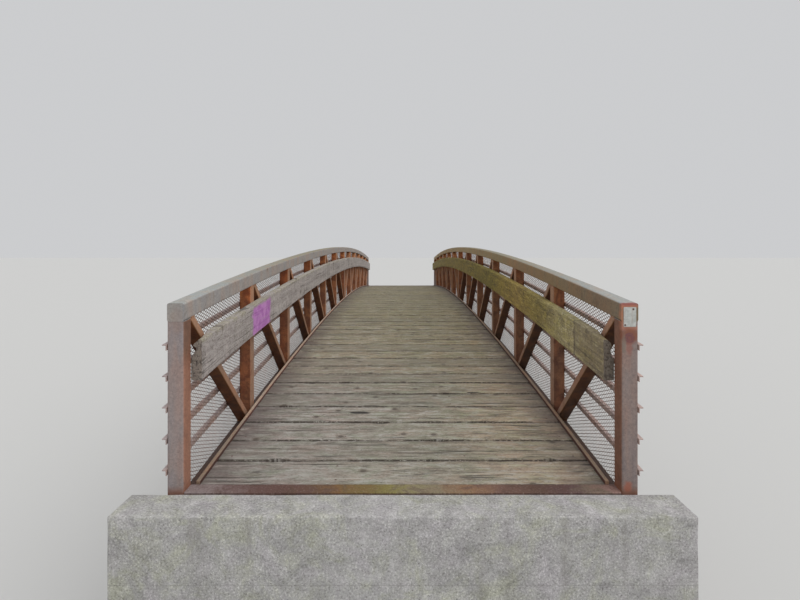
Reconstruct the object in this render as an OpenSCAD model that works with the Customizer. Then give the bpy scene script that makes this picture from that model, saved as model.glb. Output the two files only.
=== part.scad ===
// Cambered footbridge: two tube trusses that stand up past a plank deck, on two concrete abutments.
// X runs across the bridge, Y along it, Z up. The origin is on the ground, under the middle.
// Left and right are as seen by someone who walks onto the near end, at -Y, and looks along +Y.

/* [Span] */
// Full panels between the first vertical and the last
inner_panels = 10; // [8:2:12]
// Length of a full panel, vertical to vertical
panel_len = 1275; // [1000:5:1600]
// Length of each end panel, end post to first vertical
end_panel_len = 1198; // [900:1:1400]
// Rise of the deck from its ends to midspan
camber = 350; // [200:10:500]

/* [Trusses] */
// Clear width between the end posts
clear_w = 2440; // [2000:10:3000]
// Height of the top chord's top above the deck
chord_top = 1070; // [1000:5:1300]
// Height of the chord tube
chord_h = 102; // [80:1:130]
// Width of the chord and post tube, across the bridge
tube_w = 95; // [80:1:130]
// Width of an end post, along the bridge
post_d = 95; // [75:1:130]
// Width of a vertical, along the bridge
vertical_d = 95; // [50:1:100]
// Depth of a diagonal, square to its length
diagonal_d = 50; // [40:1:80]
// How far the verticals and diagonals stand back from the inner face of the chords
web_recess = 5; // [0:1:10]
// Depth from the deck's top to the bottom chord's top
chord_drop = 90; // [80:1:120]
// How far the end posts reach below the bottom chord's ends
foot_reach = 8; // [0:1:30]

/* [Deck] */
// Thickness of the planks
plank_t = 64; // [38:1:76]
// Gap between the plank ends and the truss
plank_gap = 25; // [10:1:60]
// Gap between one run of planks and the next
run_gap = 5; // [3:1:10]
// Width of the toe bar along each edge of the deck
toe_w = 24; // [20:1:50]
// Height of the toe bar above the planks
toe_h = 22; // [15:1:50]

/* [Floor frame] */
// Height of the floor beams and stringers
beam_h = 100; // [75:5:120]
// Width of a floor beam, along the bridge
beam_w = 75; // [50:1:100]
// Width of a stringer
stringer_w = 64; // [50:1:100]
// Distance from the bridge's centre line to an inner stringer
inner_line = 400; // [300:10:500]
// Width of a flat brace under the floor beams
brace_w = 50; // [40:1:80]
// Thickness of a flat brace
brace_t = 8; // [5:1:12]

/* [Rub rails] */
// Thickness of the timber rub rail
rub_t = 63.5; // [38:0.5:76]
// Height of the rub rail
rub_h = 235; // [140:5:285]
// Depth from the underside of the top chord to its upper edge
rub_drop = 131; // [60:1:200]
// Gap at a post or at a butt joint
rub_gap = 5; // [3:1:10]
// Length of the short piece at the near right end
short_piece = 476; // [400:1:550]

/* [Side rails and mesh] */
// Number of side rails on each truss
rail_count = 5; // [4:1:6]
// Height of the middle of the lowest side rail above the deck
rail_first = 122; // [90:1:140]
// Depth of the middle of the highest side rail below the underside of the top chord
rail_last = 146; // [90:1:180]
// Upright leg of the side rail angle
rail_leg = 32; // [25:1:40]
// Leg of the side rail angle that stands out from the truss
rail_out = 25; // [20:1:40]
// Thickness of the side rail angle
rail_t = 5; // [3:1:6]
// Thickness of the mesh
mesh_t = 3; // [2:1:5]
// How far the mesh laps the top and bottom chords
mesh_lap = 20; // [10:1:40]

/* [Abutments] */
// Height from the ground to the sill
abutment_h = 1400; // [1000:10:2000]
// How far an abutment reaches past the outer face of each truss
abutment_side = 190; // [100:5:500]
// Depth of the sill, along the bridge
sill_d = 228; // [180:1:300]
// Gap between the sill and the steelwork
sill_gap = 15; // [10:1:30]
// Depth of the seat under the steelwork, along the bridge
seat_d = 420; // [350:5:600]
// Depth from the sill to the top of the planks at the deck's ends
deck_drop = 15; // [0:1:30]
// Thickness of a bearing plate, and of the pad under it
bearing_t = 20; // [12:1:30]
// Width of a bearing plate, across the bridge
bearing_w = 200; // [150:5:260]
// Length of a bearing plate, along the bridge
bearing_l = 180; // [140:5:240]

/* [Bare plate] */
// Width of the small plate on the near right post
badge_w = 70; // [50:1:80]
// Height of the small plate
badge_h = 110; // [80:1:130]
// Thickness of the small plate
badge_t = 2; // [1:0.5:4]
// Depth from the top chord's top to the middle of the small plate
badge_drop = 76; // [70:1:120]

/* [Hidden] */

// Room by which cutting shapes reach past what they cut
spare = 200;

// Length from the near post's front to the far post's back, and its half
half_len = (inner_panels * panel_len) / 2 + end_panel_len + post_d / 2;
// Level of the planks' top at the deck's ends
deck_end_z = abutment_h - deck_drop;
// Radius of the deck's top and the height of its centre, far below the bridge
arch_r = (half_len * half_len + camber * camber) / (2 * camber);
arch_z = deck_end_z + camber - arch_r;
// The camber is taken in short straight steps, which lie within a fifth of a millimetre of the arc
camber_step = panel_len / 4;
// Anything on the bridge is below this level
ceiling_z = deck_end_z + camber + chord_top + spare;

// Faces of a truss, as distances from the centre line
truss_in = clear_w / 2;
truss_out = truss_in + tube_w;
web_in = truss_in + web_recess;
// Underside of the top chord, above the deck
chord_under = chord_top - chord_h;
// Level of the feet of the end posts and end beams
foot_z = deck_end_z - chord_drop - chord_h - foot_reach;
// Level of the seats that the bearings stand on
seat_z = foot_z - 2 * bearing_t;
// Plank ends
deck_half = truss_in - plank_gap;
// The outer stringer lies just inside the plank ends
outer_line = deck_half - stringer_w;
// Outer face of the mesh
mesh_out = truss_out + mesh_t;
// Lower edge of the rub rails above the deck
rub_low = chord_under - rub_drop - rub_h;
// Spacing of the side rails
rail_pitch = (chord_under - rail_first - rail_last) / (rail_count - 1);

// Positions of the verticals along the bridge, first to last
vertical_y = [for (i = [0 : inner_panels]) (i - inner_panels / 2) * panel_len];
// Faces of the end posts that look towards midspan
post_face = half_len - post_d;
// Stations where a run of planks, rails, mesh or rub rail may end
stations = concat([-post_face], vertical_y, [post_face]);
last_station = len(stations) - 1;
middle_station = last_station / 2;
// Runs of planks, lengths of mesh and lengths of spliced steel from end to end
deck_runs = 6;
mesh_lengths = 4;
steel_lengths = 3;

steel = [0.38, 0.28, 0.25];
dark_steel = [0.30, 0.20, 0.17];
mesh_steel = [0.42, 0.33, 0.30];
plank_grey = [0.52, 0.47, 0.41];
rub_grey = [0.55, 0.53, 0.46];
concrete = [0.72, 0.71, 0.69];
bare_metal = [0.70, 0.72, 0.73];

// Height of the deck's arc at a place along the bridge
function arc_z(y) = arch_z + sqrt(arch_r * arch_r - y * y);

// Height of the deck's top, on the straight step that the place lies in
function deck_z(y) =
    let (step_y = floor(y / camber_step) * camber_step)
        arc_z(step_y) + (arc_z(step_y + camber_step) - arc_z(step_y)) * (y - step_y) / camber_step;

// Both ends of a length, and the steps of the camber between them
function places(from_y, to_y) =
    concat([from_y],
        [for (k = [floor(from_y / camber_step) + 1 : 1 : ceil(to_y / camber_step) - 1]) k * camber_step],
        [to_y]);

// A line that keeps the given height above the deck
function camber_line(from_y, to_y, height) = [for (y = places(from_y, to_y)) [y, deck_z(y) + height]];

function reversed(points) = [for (i = [len(points) - 1 : -1 : 0]) points[i]];

// Gives a side view, drawn as [along, up], its width across the bridge
module across(x) {
    rotate([90, 0, 90])
        translate([0, 0, x[0]])
            linear_extrude(x[1] - x[0])
                children();
}

// A straight-sided piece that follows the camber, with plumb ends
module cambered(x, y, low, high) {
    across(x)
        polygon(concat(camber_line(y[0], y[1], low), reversed(camber_line(y[0], y[1], high))));
}

// Draws its children, which are on the left of the centre line, on the named side
module on_side(side) {
    mirror([side == "right" ? 1 : 0, 0, 0])
        children();
}

// Draws its children, which are at the near end, at the named end
module at_end(end) {
    mirror([0, end == "far" ? 1 : 0, 0])
        children();
}

// One length between two places along the bridge, on the left side
module length_on_left(x_in, x_out, from_y, to_y, low, high) {
    cambered([-x_out, -x_in], [from_y, to_y], low, high);
}

module abutment(end) {
    abutment_w = 2 * (truss_out + abutment_side);
    color(concrete)
        at_end(end)
            translate([-abutment_w / 2, -half_len - sill_gap, 0]) {
                translate([0, -sill_d, 0])
                    cube([abutment_w, sill_d, abutment_h]);
                cube([abutment_w, seat_d, seat_z]);
            }
}

// A steel plate on a thinner-edged rubber pad, under each end post
module bearings() {
    pad_inset = 10;
    color(dark_steel)
        for (side = ["left", "right"], end = ["near", "far"])
            on_side(side)
                at_end(end)
                    translate([-(truss_in + truss_out) / 2 - bearing_w / 2, -half_len, seat_z]) {
                        translate([pad_inset, pad_inset, 0])
                            cube([bearing_w - 2 * pad_inset, bearing_l - 2 * pad_inset, bearing_t]);
                        translate([0, 0, bearing_t])
                            cube([bearing_w, bearing_l, bearing_t]);
                    }
}

// Plumb tube from the bearing plate to the top chord, cut to the chord's curve
module end_post(side, end) {
    color(steel)
        on_side(side)
            at_end(end)
                across([-truss_out, -truss_in])
                    polygon(concat([[-post_face, foot_z], [-half_len, foot_z]],
                        camber_line(-half_len, -post_face, chord_under)));
}

// Runs over both end posts
module top_chord(side) {
    color(steel)
        on_side(side)
            length_on_left(truss_in, truss_out, -half_len, half_len, chord_under, chord_top);
}

// Where piece number i of a row ends, when the row is shared out over the bays
function ends_at(i, pieces) = stations[round(i * last_station / pieces)];

// One of the lengths that butt against each other and against the end posts
module bottom_chord(side, number) {
    color(steel)
        on_side(side)
            length_on_left(truss_in, truss_out,
                ends_at(number - 1, steel_lengths), ends_at(number, steel_lengths),
                -chord_drop - chord_h, -chord_drop);
}

module verticals(side) {
    color(steel)
        on_side(side)
            for (y = vertical_y)
                length_on_left(web_in, truss_out, y - vertical_d / 2, y + vertical_d / 2,
                    -chord_drop, chord_under);
}

// One diagonal in the near half: from the chord at the near side of its bay
// down to the foot of the vertical at the other side
module diagonal(bay_from, bay_to) {
    high = [bay_from + diagonal_d / 2, deck_z(bay_from) + chord_under];
    low = [bay_to - diagonal_d / 2, deck_z(bay_to) - chord_drop];
    slope = atan2(low[1] - high[1], low[0] - high[0]);
    run = norm(low - high);
    intersection() {
        translate([-truss_out, high[0], high[1]])
            rotate([slope, 0, 0])
                translate([0, -spare, -diagonal_d / 2])
                    cube([truss_out - web_in, run + 2 * spare, diagonal_d]);
        cambered([-truss_out - spare, 0], [bay_from, bay_to], -chord_drop, chord_under);
    }
}

// One to each bay, all falling towards midspan
module diagonals(side) {
    color(steel)
        on_side(side)
            for (end = ["near", "far"], i = [1 : middle_station])
                at_end(end)
                    diagonal(i == 1 ? stations[0] : stations[i - 1] + vertical_d / 2,
                        stations[i] - vertical_d / 2);
}

// Close the deck between the end posts, level with the sills
module end_beams() {
    color(dark_steel)
        for (end = ["near", "far"])
            at_end(end)
                translate([-truss_in, -half_len, foot_z])
                    cube([clear_w, post_d, abutment_h - foot_z]);
}

// Under the planks, one at each pair of verticals
module floor_beams() {
    color(dark_steel)
        for (y = vertical_y)
            cambered([-truss_in, truss_in], [y - beam_w / 2, y + beam_w / 2], -plank_t - beam_h, -plank_t);
}

// Lengths between the floor beams, in two lines at the same distance from the centre line
module stringers(line) {
    color(dark_steel)
        for (x = [-line, line], i = [1 : last_station])
            cambered([x - stringer_w / 2, x + stringer_w / 2],
                [stations[i - 1] + (i == 1 ? 0 : beam_w / 2),
                    stations[i] - (i == last_station ? 0 : beam_w / 2)],
                -plank_t - beam_h, -plank_t);
}

// Flat bars that cross the bays in a zigzag, under the floor beams
module lateral_braces() {
    reach = truss_in - brace_w;
    half_gap = 2;
    color(dark_steel)
        for (i = [1 : inner_panels]) {
            turn = i % 2 == 0 ? 1 : -1;
            intersection() {
                linear_extrude(ceiling_z)
                    polygon([
                        [turn * reach - brace_w / 2, vertical_y[i - 1]],
                        [turn * reach + brace_w / 2, vertical_y[i - 1]],
                        [-turn * reach + brace_w / 2, vertical_y[i]],
                        [-turn * reach - brace_w / 2, vertical_y[i]]
                    ]);
                cambered([-truss_in, truss_in], [vertical_y[i - 1] + half_gap, vertical_y[i] - half_gap],
                    -plank_t - beam_h - brace_t, -plank_t - beam_h);
            }
        }
}

// One run of planks
module deck(run) {
    color(plank_grey)
        cambered([-deck_half, deck_half],
            [ends_at(run - 1, deck_runs) + run_gap / 2, ends_at(run, deck_runs) - run_gap / 2],
            -plank_t, 0);
}

module toe_bar(side) {
    color(steel)
        on_side(side)
            for (i = [1 : steel_lengths])
                length_on_left(deck_half - toe_w, deck_half,
                    ends_at(i - 1, steel_lengths) + run_gap / 2, ends_at(i, steel_lengths) - run_gap / 2,
                    0, toe_h);
}

// A quarter of one side's mesh, against the outer faces of the posts and verticals
module mesh(side, quarter) {
    reach = half_len - post_d / 4;
    color(mesh_steel)
        on_side(side)
            length_on_left(truss_out, mesh_out,
                quarter == 1 ? -reach : ends_at(quarter - 1, mesh_lengths),
                quarter == mesh_lengths ? reach : ends_at(quarter, mesh_lengths),
                -chord_drop - mesh_lap, chord_under + mesh_lap);
}

// Angles along the outside of the mesh, their outer ends level with the end posts' faces
module side_rails(side) {
    splice_gap = 2;
    color(steel)
        on_side(side)
            for (n = [0 : rail_count - 1], i = [1 : steel_lengths]) {
                low = rail_first + n * rail_pitch - rail_leg / 2;
                from_y = i == 1 ? -half_len : ends_at(i - 1, steel_lengths) + splice_gap / 2;
                to_y = i == steel_lengths ? half_len : ends_at(i, steel_lengths) - splice_gap / 2;
                length_on_left(mesh_out, mesh_out + rail_t, from_y, to_y, low, low + rail_leg);
                length_on_left(mesh_out, mesh_out + rail_out, from_y, to_y,
                    low + rail_leg - rail_t, low + rail_leg);
            }
}

// Where the rub rails are butted: on the right, one bay further on than on the left
left_joints = [for (i = [1, 2]) ends_at(i, steel_lengths)];
right_joints = concat([-post_face + short_piece], [for (y = left_joints) y + panel_len]);

// Timber lengths on the inner faces of the verticals, butted at the given places
module rub_rail(side, joints) {
    ends = concat([-post_face + rub_gap / 2], joints, [post_face - rub_gap / 2]);
    color(rub_grey)
        on_side(side)
            for (i = [1 : len(ends) - 1])
                length_on_left(web_in - rub_t, web_in, ends[i - 1] + rub_gap / 2, ends[i] - rub_gap / 2,
                    rub_low, rub_low + rub_h);
}

// Small plate with nothing on it, on the front of the near right post
module bare_plate() {
    color(bare_metal)
        translate([(truss_in + truss_out - badge_w) / 2, -half_len - badge_t,
            deck_end_z + chord_top - badge_drop - badge_h / 2])
            cube([badge_w, badge_t, badge_h]);
}

abutment("near");  // near_abutment
abutment("far");  // far_abutment
bearings();
end_post("left", "near");  // near_left_end_post
end_post("right", "near");  // near_right_end_post
end_post("left", "far");  // far_left_end_post
end_post("right", "far");  // far_right_end_post
bottom_chord("left", 1);  // near_left_bottom_chord
bottom_chord("left", 2);  // middle_left_bottom_chord
bottom_chord("left", 3);  // far_left_bottom_chord
bottom_chord("right", 1);  // near_right_bottom_chord
bottom_chord("right", 2);  // middle_right_bottom_chord
bottom_chord("right", 3);  // far_right_bottom_chord
top_chord("left");  // left_top_chord
top_chord("right");  // right_top_chord
verticals("left");  // left_verticals
verticals("right");  // right_verticals
diagonals("left");  // left_diagonals
diagonals("right");  // right_diagonals
end_beams();
floor_beams();
stringers(inner_line);  // inner_stringers
stringers(outer_line);  // outer_stringers
lateral_braces();
deck(1);  // deck_1
deck(2);  // deck_2
deck(3);  // deck_3
deck(4);  // deck_4
deck(5);  // deck_5
deck(6);  // deck_6
toe_bar("left");  // left_toe_bar
toe_bar("right");  // right_toe_bar
mesh("left", 1);  // left_mesh_1
mesh("left", 2);  // left_mesh_2
mesh("left", 3);  // left_mesh_3
mesh("left", 4);  // left_mesh_4
mesh("right", 1);  // right_mesh_1
mesh("right", 2);  // right_mesh_2
mesh("right", 3);  // right_mesh_3
mesh("right", 4);  // right_mesh_4
side_rails("left");  // left_side_rails
side_rails("right");  // right_side_rails
rub_rail("left", left_joints);  // left_rub_rail
rub_rail("right", right_joints);  // right_rub_rail
bare_plate();
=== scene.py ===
# %% [markdown]
# # A cambered steel footbridge with a plank deck
# The construction model fixes every size, so this file only loads it and works around it. It gives
# the tubes their rounded corners and welds, cuts the deck into planks, weaves the mesh, wears the
# timber and the concrete, and paints everything with finishes built from noise.

# %% Load the construction model
from math import pi, radians, sqrt

import bmesh
import bpy
import numpy as np
from mathutils import Matrix, Vector, noise


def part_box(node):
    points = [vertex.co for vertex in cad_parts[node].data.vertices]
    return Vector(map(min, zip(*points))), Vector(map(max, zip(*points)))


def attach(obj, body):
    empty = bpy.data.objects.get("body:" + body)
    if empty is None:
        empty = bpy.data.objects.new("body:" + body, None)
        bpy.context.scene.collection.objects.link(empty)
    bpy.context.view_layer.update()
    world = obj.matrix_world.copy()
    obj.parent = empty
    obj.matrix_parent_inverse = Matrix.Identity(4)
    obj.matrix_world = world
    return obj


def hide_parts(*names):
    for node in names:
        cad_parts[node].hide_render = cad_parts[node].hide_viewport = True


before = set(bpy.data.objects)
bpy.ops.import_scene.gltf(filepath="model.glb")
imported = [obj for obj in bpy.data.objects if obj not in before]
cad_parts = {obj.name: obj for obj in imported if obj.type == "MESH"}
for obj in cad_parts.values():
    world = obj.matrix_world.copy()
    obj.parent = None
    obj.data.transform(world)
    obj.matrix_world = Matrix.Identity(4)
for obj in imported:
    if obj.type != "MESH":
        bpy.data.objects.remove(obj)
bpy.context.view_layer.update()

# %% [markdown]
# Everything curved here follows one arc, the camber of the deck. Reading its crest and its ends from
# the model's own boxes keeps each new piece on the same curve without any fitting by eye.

chord_low, chord_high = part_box("left_top_chord")
deck_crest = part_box("deck_3")[1].z
half_length = chord_high.y
chord_rise = chord_high.z - deck_crest
ACROSS, ALONG, UP = range(3)
sides = ("left", "right")
chord_depth = 0.102
chord_under = chord_rise - chord_depth
chord_drop = 0.090
panel_length = 1.275
mesh_lap = 0.020
camber = chord_high.z - chord_low.z - chord_depth
arc_radius = (half_length**2 + camber**2) / (2 * camber)


def deck_level(y):
    """Height of the deck's top above the ground, at a place along the bridge."""
    return deck_crest - arc_radius + sqrt(arc_radius**2 - y * y)


print("half length", round(half_length, 4), "camber", round(camber, 4), "radius", round(arc_radius, 3))

# %% [markdown]
# A finish is a small tree of nodes. Short helpers keep each tree readable: one adds any node and fills
# its inputs, one does sums, one turns a value into a soft mask between two limits, and two more lay
# shades over a colour or multiply it.

# %% Helpers for finishes
def node(tree, kind, inputs=None, **settings):
    """Adds one shader node; an input may be a number, a colour or another node's output."""
    made = tree.nodes.new("ShaderNode" + kind)
    for name, value in settings.items():
        setattr(made, name, value)
    for name, value in (inputs or {}).items():
        if isinstance(value, bpy.types.NodeSocket):
            tree.links.new(value, made.inputs[name])
        else:
            made.inputs[name].default_value = value
    return made


def sums(tree, operation, first, second=0.0, clamp=False):
    return node(tree, "Math", {0: first, 1: second}, operation=operation, use_clamp=clamp).outputs[0]


def times(tree, first, second):
    return sums(tree, "MULTIPLY", first, second)


def between(tree, value, start, end):
    """A soft mask: 0 where the value is at start, 1 where it is at end."""
    made = node(tree, "MapRange", {"Value": value, "From Min": start, "From Max": end},
                interpolation_type="SMOOTHSTEP")
    return made.outputs["Result"]


def from_to(tree, value, low, high):
    """Turns a mask into a number between low and high."""
    return node(tree, "MapRange", {"Value": value, "To Min": low, "To Max": high}).outputs["Result"]


def axes_of(tree, place):
    return node(tree, "SeparateXYZ", {"Vector": place}).outputs


def facing_of(tree):
    """How far a face looks to the right, along the bridge and up."""
    return axes_of(tree, node(tree, "NewGeometry").outputs["Normal"])


def board_value(tree, name):
    """A number that the mesh carries, such as which plank a face belongs to."""
    return node(tree, "Attribute", attribute_name=name).outputs["Fac"]


def cloud(tree, place, scale, detail=3.0, rough=0.55, warp=0.0):
    made = node(tree, "TexNoise", {"Vector": place, "Scale": scale, "Detail": detail,
                                   "Roughness": rough, "Distortion": warp})
    return made.outputs["Fac"]


def stretched(tree, place, scales):
    made = node(tree, "Mapping", {"Vector": place, "Scale": scales})
    return made.outputs["Vector"]


def grain(tree, place, scales, *noise_shape):
    """A cloud that is drawn out by a scale of its own along each axis."""
    return cloud(tree, stretched(tree, place, scales), 1.0, *noise_shape)


def tint(tree, mask, under, over, mode="MIX"):
    made = node(tree, "Mix", {0: mask, 6: under, 7: over}, data_type="RGBA", blend_type=mode)
    return made.outputs[2]


def product(tree, colour, by, share=None):
    """The colour multiplied by another one, everywhere or as far as share says."""
    multiplied = tint(tree, 1.0, colour, by, "MULTIPLY")
    return multiplied if share is None else tint(tree, share, colour, multiplied)


def cover(tree, colour, *layers):
    """Lays shades over the colour in turn; each layer is a mask, how strong it is and its shade."""
    for mask, share, shade in layers:
        colour = tint(tree, times(tree, mask, share), colour, (*shade, 1))
    return colour


def shades(tree, value, *stops):
    """A colour ramp from (position, red, green, blue) stops."""
    made = node(tree, "ValToRGB", {0: value})
    ramp = made.color_ramp
    for number, (position, *colour) in enumerate(stops):
        stop = ramp.elements[number] if number < 2 else ramp.elements.new(position)
        stop.position = position
        stop.color = (*colour, 1)
    return made.outputs["Color"]


def swayed(tree, colour, value, low, high, middle=0.50):
    """Multiplies the colour by one shade where the value is low and by another where it is high."""
    return product(tree, colour, shades(tree, value, low, (middle, 1.0, 1.0, 1.0), high))


def light_and_tone_along(tree, colour, along, share, *stops):
    """Multiplies the colour by (y, red, green, blue) stops along the bridge, as far as share says: they carry
    the tone along it and painted light and shade.
    """
    start, end = stops[0][0], stops[-1][0]
    reach = node(tree, "MapRange", {"Value": along, "From Min": start, "From Max": end}).outputs["Result"]
    ramp = shades(tree, reach, *(((y - start) / (end - start), *shade) for y, *shade in stops))
    return product(tree, colour, ramp, share)


def new_finish(name):
    """An empty finish: the material, its tree, its shader and the place on the object."""
    material = bpy.data.materials.new(name)
    material.use_nodes = True
    tree = material.node_tree
    tree.nodes.clear()
    shader = node(tree, "BsdfPrincipled")
    node(tree, "OutputMaterial", {"Surface": shader.outputs["BSDF"]})
    place = node(tree, "TexCoord").outputs["Object"]
    return material, tree, shader, place


def close(tree, shader, colour, rough, height, depth, strength=1.0):
    """Joins colour, roughness and bump to the shader."""
    bump = node(tree, "Bump", {"Height": height, "Distance": depth, "Strength": strength})
    tree.links.new(colour, shader.inputs["Base Color"])
    tree.links.new(rough, shader.inputs["Roughness"])
    tree.links.new(bump.outputs["Normal"], shader.inputs["Normal"])


print("finish helpers ready")

# %% [markdown]
# The steel is left bare to rust, so its colour changes with how wet each face stays. Faces that look
# up or out to the path are made a paler mauve grey, partly dust and partly painted sky light, and
# sheltered faces are a deep orange brown. The faces towards the deck get a colour of their own, paler
# on the web, partly painted sunlight. The face's own direction picks between these, with clouds of
# noise at three sizes to break the edges, and water leaves streaks down the sides.

# %% A weathering steel, told how each of its faces has aged
faces_deck = (0.35, 0.9)
inner_face_kept = 0.75
rail_shade_line = (0.72, 0.92)


def steel_finish(name, deep, warm, dusty_and_lit_tone, up, out, rubbed=(0.3, 0.2, 0.16), inward=0.0, flecks=0.25,
                 streaks=0.5, left_along=(), right_along=(), top_along=(), washed_above=False):
    """Up and out say how far the faces looking that way take the dusty and lit tone; inward says how far the
    faces towards the deck take the deck side colour.
    """
    material, tree, shader, place = new_finish(name)
    across, along, height = axes_of(tree, place)
    looks_across, looks_along, looks_up = facing_of(tree)
    broad = cloud(tree, place, 1.7, 4.0, 0.6, 0.4)
    patch = cloud(tree, place, 9.0, 6.0, 0.68, 0.6)
    fleck = cloud(tree, place, 120.0, 3.0, 0.7)
    streak = grain(tree, place, (34.0, 34.0, 1.5), 4.0, 0.6)
    colour = tint(tree, between(tree, patch, 0.36, 0.64), (*deep, 1), (*warm, 1))
    # Faces that look up or out are made paler: dust, and painted sky light on these lit faces
    dust_and_sky_light_above = times(tree, between(tree, looks_up, 0.25, 0.9), up)
    dust_and_light_outside = times(tree, between(tree, sums(tree, "ABSOLUTE", looks_along), 0.4, 0.95), out)
    dust = times(tree, sums(tree, "MAXIMUM", dust_and_sky_light_above, dust_and_light_outside), between(tree, broad, 0.05, 0.38))
    colour = tint(tree, dust, colour, (*dusty_and_lit_tone, 1))
    # The faces towards the deck take a colour of their own; on the web it is paler, partly painted sunlight
    left_side = between(tree, across, 0.05, -0.05)
    towards_deck = times(tree, looks_across, sums(tree, "SUBTRACT", times(tree, left_side, 2.0), 1.0))
    deck_side_share = times(tree, between(tree, towards_deck, *faces_deck), between(tree, patch, 0.20, 0.46))
    colour = cover(tree, colour, (deck_side_share, inward, rubbed))
    washed = tint(tree, 0.5, colour, (0.03, 0.014, 0.01, 1))
    colour = tint(tree, times(tree, between(tree, streak, 0.50, 0.72), streaks), colour, washed)
    colour = cover(tree, colour,
                   (between(tree, fleck, 0.56, 0.76), flecks, (0.36, 0.17, 0.085)),
                   (between(tree, fleck, 0.44, 0.26), 0.40, (0.045, 0.028, 0.022)))
    grit = cloud(tree, place, 75.0, 5.0, 0.80)
    colour = swayed(tree, colour, grit, (0.36, 0.82, 0.82, 0.83), (0.64, 1.20, 1.19, 1.17))
    drift = grain(tree, place, (16.0, 9.0, 3.0), 2.0, 0.45, 0.3)
    colour = swayed(tree, colour, drift, (0.36, 1.08, 0.97, 0.92), (0.64, 0.95, 1.0, 1.06))
    top = between(tree, looks_up, 0.3, 0.8)
    elsewhere = sums(tree, "SUBTRACT", 1.0, top) if top_along else 1.0
    if washed_above:
        inner_face = times(tree, between(tree, towards_deck, *faces_deck), inner_face_kept)
        elsewhere = sums(tree, "SUBTRACT", elsewhere, inner_face)
    left_share = times(tree, left_side, elsewhere)
    right_share = times(tree, sums(tree, "SUBTRACT", 1.0, left_side), elsewhere)
    # Ramps along the bridge for the left, right and top faces, with painted light and shade in them
    for share, stops in (left_share, left_along), (right_share, right_along), (top, top_along):
        if stops:
            colour = light_and_tone_along(tree, colour, along, share, *stops)
    if washed_above:
        colour = painted_light_and_shade(tree, colour, along, height, looks_up, elsewhere)
    return material, tree, shader, colour, place, (broad, patch, fleck)


def painted_light_and_shade(tree, colour, along, height, looks_up, share):
    """Steel is darker up to the rub rail, with dirt and painted shade, paler above it with painted light, and
    darker on the faces that look down, as painted shade.
    """
    arc_drop = times(tree, times(tree, along, along), 0.5 / arc_radius)
    low_level, high_level = (deck_crest + level for level in rail_shade_line)
    above_rail = between(tree, sums(tree, "ADD", height, arc_drop), low_level, high_level)
    # Painted light above the rub rail; dirt and painted shade below it
    lit_above_dirt_and_shade_below = tint(tree, above_rail, (0.88, 0.86, 0.84, 1), (1.35, 1.12, 0.80, 1))
    colour = product(tree, colour, lit_above_dirt_and_shade_below, share)
    # Painted shade on the faces that look down
    return product(tree, colour, (0.50, 0.44, 0.26, 1), between(tree, looks_up, -0.15, -0.55))


def close_steel(tree, shader, colour, grains):
    _, patch, fleck = grains
    height = sums(tree, "ADD", times(tree, fleck, 0.45), patch)
    close(tree, shader, colour, from_to(tree, patch, 0.56, 0.86), height, 0.0016, 0.6)


def plain_steel(name, *shades_and_shares, **more):
    material, tree, shader, colour, _, grains = steel_finish(name, *shades_and_shares, **more)
    close_steel(tree, shader, colour, grains)
    return material


print("steel recipe ready")

# %% [markdown]
# The top chords stand in the rain and are grey mauve on every side. The web members are orange brown,
# with the face towards the deck pinkish, partly painted sunlight. The mesh, the side rails and the toe
# bars have their own shares of the dusty and lit tone. The bottom chords are dark with dirt and painted
# shade, and the side rails are made paler with painted light on faces that lie in shade.

# %% Steel for the chords, the web and the sides
# The web's ramps along the bridge carry painted light and shade as well as its tone
web_steel = plain_steel("weathered_web_steel", (0.140, 0.052, 0.027), (0.300, 0.138, 0.072),
                        (0.30, 0.22, 0.19), 0.5, 0.05, rubbed=(0.40, 0.245, 0.168), inward=0.80,
                        left_along=((-6.6, 1.24, 1.06, 0.82), (-5.3, 0.98, 0.76, 0.53),
                                    (-4.0, 0.80, 0.64, 0.42),
                                    (-2.8, 1.12, 0.95, 0.70), (-0.5, 1.35, 1.12, 0.84)),
                        right_along=((-6.6, 1.0, 0.98, 0.95), (-5.3, 0.72, 0.68, 0.57),
                                     (-4.0, 0.80, 0.74, 0.56),
                                     (0.0, 0.88, 0.68, 0.38)), washed_above=True)
# Dark with dirt and with painted shade, between the toe bar and the mesh
low_steel = plain_steel("dirty_shaded_bottom_chord", (0.070, 0.032, 0.020), (0.140, 0.066, 0.042),
                        (0.085, 0.055, 0.045), 0.8, 0.2)
mesh_steel = plain_steel("weathered_mesh_steel", (0.150, 0.078, 0.056), (0.300, 0.180, 0.135),
                         (0.36, 0.27, 0.235), 0.6, 0.3, rubbed=(0.33, 0.24, 0.215), inward=0.5)
# Made paler with painted light, for side rail faces that lie in shade
rail_steel = plain_steel("side_rails_with_painted_light", (0.210, 0.125, 0.105), (0.360, 0.245, 0.215),
                         (0.50, 0.40, 0.375), 0.95, 0.6, rubbed=(0.64, 0.50, 0.45), inward=0.85)
toe_steel = plain_steel("weathered_toe_bars", (0.200, 0.120, 0.085), (0.330, 0.215, 0.150),
                        (0.46, 0.37, 0.29),
                        0.62, 0.4, rubbed=(0.105, 0.040, 0.034), inward=0.9, flecks=0.35,
                        left_along=((-7.5, 0.66, 0.62, 0.56), (-6.9, 0.80, 0.78, 0.74),
                                    (-6.5, 1.22, 1.20, 1.16)),
                        right_along=((-7.6, 0.80, 0.74, 0.66), (-5.0, 0.70, 0.64, 0.56)))
floor_steel = plain_steel("weathered_floor_steel", (0.062, 0.026, 0.018), (0.118, 0.052, 0.034),
                          (0.165, 0.112, 0.094), 0.5, 0.3)
print("steel finishes:", len(bpy.data.materials))

# %% [markdown]
# The end posts and chords share the marks by the entrance: rust at the posts' feet, an orange band
# round the small plate on the right post, and under it a dark red brown patch with a ring in it,
# where something round was once fixed. Each mark is an egg shaped mask about a point on the steel.

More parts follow.
